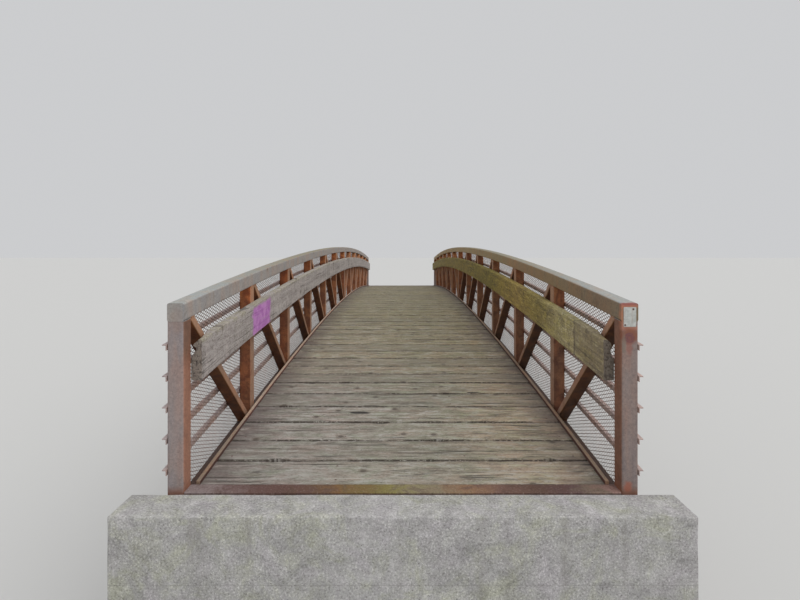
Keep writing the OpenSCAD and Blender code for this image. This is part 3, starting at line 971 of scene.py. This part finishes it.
# %% [markdown]
# The planks are screwed to the four lines of stringers. A screw head is a shallow disc with a rounded
# rim, sunk just below the surface and rusted nearly black.

# %% Deck screws
screw_radius = 0.0065
screw_sink = 0.0066
stringer_lines = (-1.10, -0.40, 0.40, 1.10)


def stamp(bm, shape, place):
    """Adds a copy of a small mesh at a place."""
    before = len(bm.verts)
    bm.from_mesh(shape)
    bm.verts.ensure_lookup_table()
    bmesh.ops.translate(bm, verts=bm.verts[before:], vec=place)


def round_head(radius, depth, rim, segments):
    """A small mesh of a flat round head, standing on the ground, with a rounded upper rim."""
    bm = bmesh.new()
    bmesh.ops.create_cone(bm, cap_ends=True, segments=segments, radius1=radius, radius2=radius, depth=depth)
    bevel(bm, [edge for edge in bm.edges if all(vert.co.z > 0 for vert in edge.verts)], rim, 1)
    bmesh.ops.translate(bm, verts=bm.verts, vec=(0, 0, depth / 2))
    return as_mesh(bm, "round_head")


screw_head = round_head(screw_radius, 0.004, 0.001, 8)
bm = bmesh.new()
for run in range(1, 7):
    borders = run_borders(run)
    for start, end in zip(borders, borders[1:]):
        for line_x in stringer_lines:
            for share in (0.22, 0.78):
                shake = noise.noise(Vector((line_x * 7, start * 9, share)))
                y = start + (end - start) * share + 0.006 * shake
                x = line_x + 0.012 * noise.noise(Vector((start * 11, line_x, share * 5)))
                stamp(bm, screw_head, (x, y, deck_level(y) - screw_sink))
put_out(bm, "deck_screws", floor_steel, "floor_steel")
print("screws:", len(pieces[-1].data.polygons) // len(screw_head.polygons))

# %% [markdown]
# The rub rails are thick planks on edge. The left one is silver grey, with pale runs down its face and
# a purple patch of old paint. The right one faces away from the sun and has gone green and brown.
# Both are worn at their ends, where the end grain is dark.

# %% Finish of the rub rails
# Where the purple paint and the pale patch beyond it begin and end along the bridge
paint_start, paint_end, paint_top = (-6.58, -6.52), (-6.04, -6.10), (0.83, 0.80)
pale_start, pale_end = (-6.08, -5.98), (-5.25, -5.45)

rub_finish, tree, shader, place = new_finish("weathered_rub_rails")
across, along = axes_of(tree, place)[:UP]
number = board_value(tree, "rail_number")
level = board_value(tree, "above_deck")
fine, bands, knots, rings, checks = timber_grain(tree, along, level, across, number)
right_side = between(tree, across, -0.1, 0.1)
tone = cloud(tree, place, 1.6, 5.0, 0.62, 0.6)
soiled = cloud(tree, place, 7.0, 5.0, 0.65, 0.8)
runs = grain(tree, place, (1.0, 13.0, 1.4), 4.0, 0.6, 0.3)
grey = shades(tree, bands, (0.25, 0.300, 0.264, 0.252), (0.50, 0.400, 0.358, 0.342),
              (0.78, 0.510, 0.462, 0.442))
brown = shades(tree, bands, (0.25, 0.205, 0.162, 0.100), (0.50, 0.310, 0.258, 0.162),
               (0.78, 0.430, 0.368, 0.245))
colour = tint(tree, right_side, grey, brown)
colour = cover(tree, colour,
               (between(tree, runs, 0.53, 0.64), from_to(tree, right_side, 0.55, 0.08),
                (0.52, 0.455, 0.435)),
               (between(tree, runs, 0.46, 0.34), 0.35, (0.17, 0.145, 0.125)))
green_on_right = times(tree, right_side, between(tree, along, -7.15, -6.9))
green_on_right = times(tree, green_on_right, between(tree, tone, 0.34, 0.58))
green_on_right = times(tree, green_on_right, from_to(tree, between(tree, level, 0.64, 0.80), 0.45, 1.0))
blotch = cloud(tree, stretched(tree, place, (1.0, 0.75, 1.7)), 6.0, 6.0, 0.72, 0.7)
yellow = times(tree, between(tree, blotch, 0.50, 0.62), right_side)
ashen = times(tree, between(tree, blotch, 0.46, 0.37), right_side)
upper_edge = times(tree, between(tree, level, 0.800, 0.832), between(tree, soiled, 0.38, 0.56))
moss = times(tree, between(tree, soiled, 0.55, 0.70), between(tree, tone, 0.40, 0.60))
colour = cover(tree, colour,
               (green_on_right, 0.48, (0.265, 0.235, 0.085)),
               (yellow, 0.55, (0.44, 0.375, 0.150)),
               (ashen, 0.60, (0.175, 0.150, 0.140)),
               (upper_edge, 0.55, (0.36, 0.33, 0.20)),
               (moss, from_to(tree, right_side, 0.22, 0.45), (0.130, 0.150, 0.062)),
               (between(tree, fine, 0.48, 0.26), 0.50, (0.095, 0.078, 0.062)),
               (between(tree, fine, 0.58, 0.80), 0.35, (0.46, 0.43, 0.40)))
board = node(tree, "CombineXYZ", {"X": across, "Y": along, "Z": level}).outputs["Vector"]
strokes = grain(tree, board, (20.0, 6.0, 42.0), 4.0, 0.70, 0.5)
stroke_light = tint(tree, right_side, (0.56, 0.525, 0.500, 1), (0.60, 0.545, 0.355, 1))
stroke_share = from_to(tree, right_side, 0.22, 0.68)
colour = tint(tree, times(tree, between(tree, strokes, 0.54, 0.66), stroke_share), colour, stroke_light)
colour = cover(tree, colour, (between(tree, strokes, 0.46, 0.35), stroke_share, (0.150, 0.125, 0.105)))
speck = cloud(tree, stretched(tree, place, (1.0, 0.6, 1.0)), 95.0, 4.0, 0.75)
colour = cover(tree, colour,
               (between(tree, speck, 0.54, 0.64), 0.70, (0.100, 0.082, 0.064)),
               (between(tree, speck, 0.46, 0.35), 0.60, (0.60, 0.56, 0.53)),
               (rings, 0.22, (0.120, 0.088, 0.062)),
               (knots, 0.45, (0.052, 0.038, 0.030)),
               (checks, 0.60, (0.032, 0.026, 0.022)))
on_short_length = times(tree, right_side, between(tree, number, 9.5, 9.4))
colour = cover(tree, colour, (on_short_length, 0.40, (0.150, 0.124, 0.108)))
# Along the bridge the right rail turns darker and yellower, with painted light and shade as well as its tone
colour = light_and_tone_along(tree, colour, along, right_side, (-7.3, 1.22, 1.17, 0.95), (-6.83, 1.31, 1.29, 1.03),
                    (-6.24, 0.96, 0.87, 0.41), (-5.39, 1.13, 0.92, 0.36), (-4.08, 0.70, 0.63, 0.17),
                    (-1.83, 0.76, 0.66, 0.20))
wobble = times(tree, sums(tree, "SUBTRACT", soiled, 0.5), 0.20)
edge_place = sums(tree, "ADD", along, wobble)
left_side = between(tree, right_side, 1.0, 0.0)
paint = times(tree, between(tree, edge_place, *paint_start), between(tree, edge_place, *paint_end))
paint = times(tree, paint, left_side)
paint = times(tree, paint, between(tree, sums(tree, "ADD", level, times(tree, wobble, 0.3)), *paint_top))
worn_paint = times(tree, paint, between(tree, fine, 0.72, 0.58))
facing = facing_of(tree)
worn_paint = times(tree, worn_paint, between(tree, facing[ACROSS], 0.5, 0.9))
purple = tint(tree, between(tree, soiled, 0.40, 0.64), (0.45, 0.135, 0.49, 1), (0.62, 0.27, 0.64, 1))
colour = tint(tree, times(tree, worn_paint, 0.9), colour, purple)
pale = times(tree, between(tree, edge_place, *pale_start), between(tree, edge_place, *pale_end))
pale_clouds = between(tree, cloud(tree, place, 9.0, 3.0, 0.5, 1.2), 0.50, 0.60)
pale = times(tree, times(tree, pale, left_side), pale_clouds)
colour = cover(tree, colour, (pale, 0.5, (0.56, 0.52, 0.50)))
end_grain = between(tree, sums(tree, "ABSOLUTE", facing[ALONG]), 0.75, 0.95)
ring_middle = node(tree, "Mapping", {"Vector": place, "Location": (0.0, 0.0, -2.35)}).outputs["Vector"]
growth = node(tree, "TexWave", {"Vector": ring_middle, "Scale": 46.0, "Distortion": 5.0, "Detail": 2.0,
                                "Detail Scale": 1.5}, wave_type="RINGS", rings_direction="Y").outputs["Fac"]
dark_end = tint(tree, growth, (0.075, 0.058, 0.044, 1), (0.400, 0.345, 0.290, 1))
rotten = between(tree, cloud(tree, place, 75.0, 3.0, 0.65), 0.50, 0.64)
dark_end = tint(tree, rotten, dark_end, (0.050, 0.038, 0.030, 1))
dark_end = cover(tree, dark_end, (right_side, 0.42, (0.070, 0.056, 0.058)))
colour = tint(tree, times(tree, end_grain, 0.85), colour, dark_end)
rough = from_to(tree, fine, 0.70, 0.92)
raised = sums(tree, "ADD", times(tree, fine, 0.7), times(tree, bands, 0.7))
height = sums(tree, "SUBTRACT", raised,
              sums(tree, "ADD", times(tree, checks, 1.3), times(tree, knots, 0.3)))
close(tree, shader, colour, rough, height, 0.0026, 0.8)
print("rub rail finish:", len(tree.nodes), "nodes")

# %% [markdown]
# Each length of rub rail is a box with rounded long edges, cut into short squares and bent to the
# camber. Wear is moved points: hollows along the face, rounded ends, and at the entrance the top
# back corner is rotted away on both sides, further down on the left.

# %% Rub rails
rail_low = 0.602
rail_gap = 0.005
rail_edge = 0.0045
short_length = 0.476
rot_length = 0.22
first_number = {"left": 3, "right": 9}
turns = {"left": -1, "right": 1}
rail_joints = {"left": [-2 * panel_length, 2 * panel_length],
               "right": [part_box("right_rub_rail")[0].y + short_length, -panel_length, 3 * panel_length]}
# What is rotted off the back of each rail by the entrance: height share, depth
rotted = {"left": [(0.42, 0), (0.58, 0.005), (0.68, 0.016), (0.75, 0.032), (0.81, 0.024), (0.87, 0.010),
                   (0.93, 0.020), (1.0, 0.038)],
          "right": [(0.52, 0), (0.58, 0.014), (0.72, 0.019), (0.88, 0.015), (0.94, 0.020), (1.0, 0.034)]}


def rot_depth(side, height_share):
    """How much is gone from the back of the rail's end at a share of its height."""
    heights, depths = zip(*rotted[side])
    return float(np.interp(height_share, heights, depths))


def one_length(start, end, middle_x, thick, tall, cuts_up):
    """A timber with rounded long edges, cut into short squares."""
    one = bmesh.new()
    box(one, (thick, end - start, tall), (middle_x, (start + end) / 2, rail_low + tall / 2))
    round_edges(one, edges_along(one, Vector((0, 1, 0))), rail_edge, 3)
    steps_along = max(6, round((end - start) / 0.06))
    for axis, least, cuts in ((ALONG, 0.1, steps_along), (UP, 0.1, cuts_up), (ACROSS, 0.03, 3)):
        far_reaching = [edge for edge in one.edges if reach(edge, axis) > least]
        bmesh.ops.subdivide_edges(one, edges=far_reaching, cuts=cuts, use_grid_fill=True)
    return one


def rot_away(vert, side, rot, from_back, high_share):
    """Eats into the back of a point near the rail's end, and rounds its top corner."""
    turn = turns[side]
    bite = rot_depth(side, high_share) * rot
    bite *= 1 + 0.30 * noise.noise(Vector((7, vert.co.y * 25, vert.co.z * 45)))
    vert.co.x -= turn * max(0.0, bite - from_back) if from_back < bite else 0.0
    vert.co.z -= 0.010 * rot * max(0.0, high_share - 0.9) / 0.1 * max(0.0, 1 - from_back / 0.04)


def wear_length(one, side, count, start, end, back, thick, tall):
    """Hollows the face towards the deck, roughens the ends and rots the one by the entrance."""
    turn = turns[side]
    number = first_number[side] + count
    for vert in one.verts:
        from_back = (back - vert.co.x) * turn
        high_share = (vert.co.z - rail_low) / tall
        hollow = 0.0016 * (1 + noise.noise(Vector((count * 5.5 + turn, vert.co.y * 1.1, high_share * 1.5))))
        hollow += 0.0010 * (1 + noise.noise(Vector((vert.co.y * 7, high_share * 6, turn * 3.3))))
        if from_back > thick - 0.012:
            vert.co.x += turn * hollow
        if min(vert.co.y - start, end - vert.co.y) < 0.001:
            ragged = 0.004 * (1 + noise.noise(Vector((vert.co.x * 30, number, vert.co.z * 22))))
            vert.co.y += ragged if vert.co.y - start < 0.001 else -ragged
        rot = max(0.0, 1 - (vert.co.y - start) / rot_length) ** 0.6 if count == 0 else 0.0
        if rot > 0:
            rot_away(vert, side, rot, from_back, high_share)


def rub_rail(side):
    name = f"{side}_rub_rail"
    low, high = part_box(name)
    turn = turns[side]
    back = low.x if side == "left" else high.x
    thick, tall = high.x - low.x, high.z - deck_crest - rail_low
    bm = bmesh.new()
    borders = [low.y, *rail_joints[side], high.y]
    for count, (start, end) in enumerate(zip(borders, borders[1:])):
        start += rail_gap / 2 if count else 0
        end -= rail_gap / 2 if count < len(borders) - 2 else 0
        one = one_length(start, end, back - turn * thick / 2, thick, tall, 7 if count else 15)
        wear_length(one, side, count, start, end, back, thick, tall)
        rail_number = one.faces.layers.float.new("rail_number")
        for face in one.faces:
            face[rail_number] = float(first_number[side] + count)
            face.smooth = True
        pour(bm, one)
    level = bm.verts.layers.float.new("above_deck")
    for vert in bm.verts:
        vert[level] = vert.co.z
        vert.co.z += deck_level(vert.co.y)
    piece = put_out(bm, f"{side}_rub_timber", rub_finish, "rub_rail_timber", name)
    piece.data.set_sharp_from_angle(angle=radians(board_corner))
    print(name, "faces:", len(piece.data.polygons))


for side in sides:
    rub_rail(side)

# %% [markdown]
# The abutments are cast concrete. The finish needs sand specks, small air holes, pale and dark stains
# from rain, and hairline marks where the form boards met on the upright faces.

# %% Concrete finish
form_board = 0.35
concrete_finish, tree, shader, place = new_finish("cast_concrete")
up = axes_of(tree, place)[UP]
broad = cloud(tree, place, 1.3, 5.0, 0.6, 0.5)
mottle = cloud(tree, place, 14.0, 5.0, 0.65, 0.3)
sand = cloud(tree, place, 95.0, 5.0, 0.80)
runs = grain(tree, place, (9.0, 9.0, 0.7), 4.0, 0.6)
holes = node(tree, "TexVoronoi", {"Vector": place, "Scale": 42.0, "Randomness": 1.0}, feature="F1")
pit = times(tree, between(tree, holes.outputs["Distance"], 0.16, 0.08),
            between(tree, cloud(tree, place, 6.0), 0.52, 0.62))
colour = shades(tree, broad, (0.25, 0.330, 0.322, 0.312), (0.55, 0.395, 0.388, 0.378),
                (0.80, 0.445, 0.440, 0.432))
colour = cover(tree, colour,
               (between(tree, mottle, 0.46, 0.30), 0.42, (0.25, 0.24, 0.225)),
               (between(tree, mottle, 0.54, 0.68), 0.45, (0.56, 0.555, 0.545)),
               (between(tree, sand, 0.53, 0.62), 0.72, (0.66, 0.65, 0.625)),
               (between(tree, sand, 0.47, 0.38), 0.70, (0.165, 0.155, 0.145)))
lichen = cloud(tree, place, 5.0, 5.0, 0.7, 0.6)
colour = swayed(tree, colour, lichen, (0.34, 1.02, 0.99, 1.04), (0.66, 0.98, 1.0, 0.86))
patches = cloud(tree, place, 8.0, 6.0, 0.72, 0.8)
colour = swayed(tree, colour, patches, (0.34, 0.78, 0.78, 0.78), (0.64, 1.16, 1.16, 1.16))
upright = between(tree, sums(tree, "ABSOLUTE", facing_of(tree)[UP]), 0.6, 0.3)
stains = times(tree, times(tree, between(tree, runs, 0.50, 0.72), upright), between(tree, up, 0.55, 1.38))
damp_foot = between(tree, sums(tree, "ADD", up, times(tree, mottle, 0.3)), 0.50, 0.18)
board_share = sums(tree, "FRACT", sums(tree, "DIVIDE", up, form_board))
lift = sums(tree, "ABSOLUTE", sums(tree, "SUBTRACT", board_share, 0.5))
form_line = times(tree, between(tree, lift, 0.490, 0.498), upright)
colour = cover(tree, colour,
               (stains, 0.45, (0.20, 0.185, 0.165)),
               (damp_foot, 0.5, (0.215, 0.205, 0.180)),
               (form_line, 0.35, (0.22, 0.21, 0.20)),
               (pit, 0.8, (0.12, 0.11, 0.10)))
rough = from_to(tree, mottle, 0.80, 0.95)
raised = sums(tree, "ADD", times(tree, sand, 0.5), mottle)
height = sums(tree, "SUBTRACT", raised,
              sums(tree, "ADD", times(tree, pit, 1.2), times(tree, form_line, 0.5)))
close(tree, shader, colour, rough, height, 0.0022, 0.7)
print("concrete finish:", len(tree.nodes), "nodes")

# %% [markdown]
# An abutment is one casting: a wall that ends in the sill, and a lower seat behind it for the bearings.
# It starts as one box, the back below seat level is extruded to make the seat, the edges are rounded,
# and planes cut it into squares so that the faces and edges can be made slightly uneven.

# %% Abutments
sill_depth = 0.228
seat_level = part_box("bearings")[0].z
casting_edge = 0.011


def on_show(edge, back_y):
    """True unless the edge lies on the ground, or in the corner between the sill and the seat."""
    first, second = (vert.co for vert in edge.verts)
    in_corner = all(abs(point.z - seat_level) < 0.001 and abs(point.y - back_y) < 0.001
                    for point in (first, second))
    return first.z + second.z > 0.01 and not in_corner


def abutment(end):
    name = f"{end}_abutment"
    low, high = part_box(name)
    turn = 1 if end == "near" else -1
    face_y = low.y if end == "near" else high.y
    back_y = face_y + turn * sill_depth
    bm = bmesh.new()
    box(bm, (high.x - low.x, sill_depth, high.z), (0, (face_y + back_y) / 2, high.z / 2))
    cut_through(bm, (0, 0, seat_level), (0, 0, 1))
    back = [face for face in bm.faces
            if face.normal.y * turn > 0.9 and face.calc_center_median().z < seat_level]
    pushed = bmesh.ops.extrude_face_region(bm, geom=back)["geom"]
    bmesh.ops.delete(bm, geom=back, context="FACES_ONLY")
    seat_depth = (high.y - low.y) - sill_depth
    bmesh.ops.translate(bm, verts=[item for item in pushed if isinstance(item, bmesh.types.BMVert)],
                        vec=(0, turn * seat_depth, 0))
    bmesh.ops.dissolve_limit(bm, angle_limit=radians(1), verts=bm.verts, edges=bm.edges)
    sharp = [edge for edge in bm.edges if edge.calc_face_angle() > 1 and on_show(edge, back_y)]
    bevel(bm, sharp, casting_edge, 3)
    for start, stop, step, direction in ((low.x + 0.03, high.x, 0.045, (1, 0, 0)),
                                         (low.y + 0.035, high.y, 0.06, (0, 1, 0)),
                                         (0.1, high.z - 0.02, 0.13, (0, 0, 1))):
        for distance in np.arange(start, stop, step):
            cut_through(bm, Vector(direction) * distance, direction)
    bm.normal_update()
    for vert in bm.verts:
        on_edge = 1 - max(abs(value) for value in vert.normal)
        wave = 0.0012 * (1 + noise.noise(vert.co * 2.2)) + 0.0006 * (1 + noise.noise(vert.co * 11))
        dent = max(0.0, noise.noise(vert.co * 6 + Vector((4, 0, 0))) - 0.18)
        chip = 0.012 * dent if on_edge > 0.08 else 0.0
        if vert.co.z > 0.01:
            vert.co -= vert.normal * (wave + chip)
    for face in bm.faces:
        face.smooth = True
    piece = put_out(bm, f"{end}_concrete", concrete_finish, "concrete", name)
    piece.data.set_sharp_from_angle(angle=radians(50))
    print(name, "faces:", len(piece.data.polygons))


for end in ("near", "far"):
    abutment(end)

# %% [markdown]
# Under each end post a steel plate rests on a black rubber pad, whose sides bulge under the load. Two
# anchor bolts with hexagon nuts hold each plate to the seat.

# %% Bearings
rubber, tree, shader, place = new_finish("bearing_rubber")
dust = cloud(tree, place, 24.0, 4.0, 0.6)
colour = shades(tree, dust, (0.35, 0.020, 0.020, 0.020), (0.70, 0.075, 0.070, 0.064))
rough = from_to(tree, dust, 0.6, 0.9)
close(tree, shader, colour, rough, dust, 0.001, 0.5)


def hexagon_nut(across_flats, thick):
    """A small mesh of a nut, standing on the ground, with its corners taken off."""
    bm = bmesh.new()
    across_corners = across_flats * 1.154
    bmesh.ops.create_cone(bm, cap_ends=True, segments=6, radius1=across_corners / 2,
                          radius2=across_corners / 2, depth=thick)
    bevel(bm, [edge for edge in bm.edges if reach(edge, UP) < hairline], 0.0015, 1)
    bmesh.ops.translate(bm, verts=bm.verts, vec=(0, 0, thick / 2))
    return as_mesh(bm, "nut")


def bearing_block(size, bulge):
    """A small mesh of a plate with rounded edges, or of a pad whose sides bulge."""
    bm = bmesh.new()
    box(bm, size, (0, 0, 0))
    if bulge:
        upright = [edge for edge in bm.edges if reach(edge, UP) > 0.01]
        bmesh.ops.subdivide_edges(bm, edges=upright, cuts=4)
        for vert in bm.verts:
            out = bulge * (1 - (2 * vert.co.z / size[2]) ** 2)
            vert.co.x += out if vert.co.x > 0 else -out
            vert.co.y += out if vert.co.y > 0 else -out
    else:
        bevel(bm, bm.edges[:], 0.002, 2)
    bmesh.ops.translate(bm, verts=bm.verts, vec=(0, 0, size[2] / 2))
    return as_mesh(bm, "block")


plate_thick, plate_wide, plate_long = 0.020, 0.200, 0.180
pad_inset, pad_bulge = 0.020, 0.004
bolt_across, bolt_behind = 0.078, 0.045
washer_thick = 0.003
steel_plate = bearing_block((plate_wide, plate_long, plate_thick), 0)
rubber_pad = bearing_block((plate_wide - pad_inset, plate_long - pad_inset, plate_thick), pad_bulge)
nut = hexagon_nut(0.030, 0.013)
washer = round_head(0.018, washer_thick, 0.0008, 16)
stud = round_head(0.008, 0.022, 0.0015, 12)
plates, pads = bmesh.new(), bmesh.new()
for turn_x in (-1, 1):
    for turn_y in (-1, 1):
        middle = Vector((turn_x * (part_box("bearings")[1].x - plate_wide / 2),
                         turn_y * (half_length - plate_long / 2), seat_level))
        stamp(pads, rubber_pad, middle)
        stamp(plates, steel_plate, middle + Vector((0, 0, plate_thick)))
        for bolt_x in (-bolt_across, bolt_across):
            foot = middle + Vector((bolt_x, -turn_y * bolt_behind, 2 * plate_thick))
            for shape, lift in ((washer, 0), (nut, washer_thick), (stud, 0)):
                stamp(plates, shape, foot + Vector((0, 0, lift)))
put_out(plates, "bearing_plates_and_bolts", floor_steel, "bearing", "bearings")
put_out(pads, "bearing_pads", rubber, "bearing", "bearings")
print("bearings done")

# %% [markdown]
# A small plate without any marks is fixed to the front of the right post by a screw in each of two
# opposite corners. It is dull aluminium, brushed once and now streaked by rust from above.

# %% Bare plate
bare_metal, tree, shader, place = new_finish("dull_bare_plate")
brushed = grain(tree, place, (260.0, 40.0, 9.0), 3.0, 0.6)
blotch = cloud(tree, place, 55.0, 4.0, 0.6, 0.5)
colour = shades(tree, blotch, (0.30, 0.420, 0.430, 0.405), (0.60, 0.580, 0.590, 0.560))
rust_runs = grain(tree, place, (110.0, 10.0, 6.0), 3.0)
colour = cover(tree, colour, (between(tree, rust_runs, 0.55, 0.70), 0.35, (0.30, 0.155, 0.085)))
rough = from_to(tree, blotch, 0.38, 0.66)
shader.inputs["Metallic"].default_value = 0.35
close(tree, shader, colour, rough, brushed, 0.0004, 0.5)

bm = joined_copy("bare_plate")
plate_low, plate_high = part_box("bare_plate")
bevel(bm, [edge for edge in bm.edges if reach(edge, ALONG) > 0.0015], 0.004, 3)
rim = [edge for edge in bm.edges if all(abs(vert.co.y - plate_low.y) < hairline for vert in edge.verts)]
bevel(bm, rim, 0.0006, 1)
put_out(bm, "plain_plate", bare_metal, "bare_metal", "bare_plate")

bm = bmesh.new()
for x, z in ((plate_high.x - 0.016, plate_high.z - 0.012), (plate_low.x + 0.008, plate_low.z + 0.010)):
    made = bmesh.ops.create_uvsphere(bm, u_segments=12, v_segments=6, radius=0.0055)["verts"]
    bmesh.ops.scale(bm, verts=made, vec=(1, 0.55, 1))
    bmesh.ops.translate(bm, verts=made, vec=(x, plate_low.y, z))
put_out(bm, "plate_screws", floor_steel, "bare_metal")
print("plate at", tuple(round(value, 3) for value in plate_low))

# %% [markdown]
# A pale floor, a pale room and one very wide light show the bridge without hard shadows. The
# light is high on the right, as the left rub rail is the brighter one. The camera is level, at the
# height and distance worked out from the photograph's perspective, with its frame shifted down.

# %% Floor, light and camera
floor_finish, tree, shader, place = new_finish("pale_floor")
shader.inputs["Base Color"].default_value = (0.62, 0.62, 0.61, 1)
shader.inputs["Roughness"].default_value = 0.9
floor_half = 150
bm = bmesh.new()
bmesh.ops.create_grid(bm, x_segments=1, y_segments=1, size=floor_half)
floor = into_scene("studio_floor", as_mesh(bm, "studio_floor"))
floor.data.materials.append(floor_finish)

world = bpy.data.worlds.new("pale_room")
bpy.context.scene.world = world
world.use_nodes = True
world.node_tree.nodes["Background"].inputs["Color"].default_value = (0.97, 0.98, 1.0, 1)
world.node_tree.nodes["Background"].inputs["Strength"].default_value = 0.62

main_light = bpy.data.lights.new("main_light", "SUN")
main_light.energy = 1.5
main_light.angle = radians(70)
main_light.color = (1.0, 0.985, 0.96)
lamp = into_scene("main_light", main_light)
lamp.rotation_euler = Vector((-0.55, 0.45, -1.0)).to_track_quat("-Z", "Y").to_euler()

camera_data = bpy.data.cameras.new("path_camera")
camera_data.sensor_width = 36
camera_data.lens = 21.53
camera_data.shift_x = -0.0013
camera_data.shift_y = -0.0631
camera_data.clip_end = 500
camera = into_scene("path_camera", camera_data)
camera.location = (-0.009, -10.2895, 2.755)
camera.rotation_euler = (radians(90), 0, 0)
bpy.context.scene.camera = camera
bpy.context.scene.view_settings.view_transform = "Standard"
print("camera at", tuple(camera.location))

# %% [markdown]
# The last step counts the triangles of the finished pieces.

# %% Count the triangles and finish
triangles = 0
for piece in pieces:
    piece.data.calc_loop_triangles()
    triangles += len(piece.data.loop_triangles)
print("pieces:", len(pieces), "triangles:", triangles)
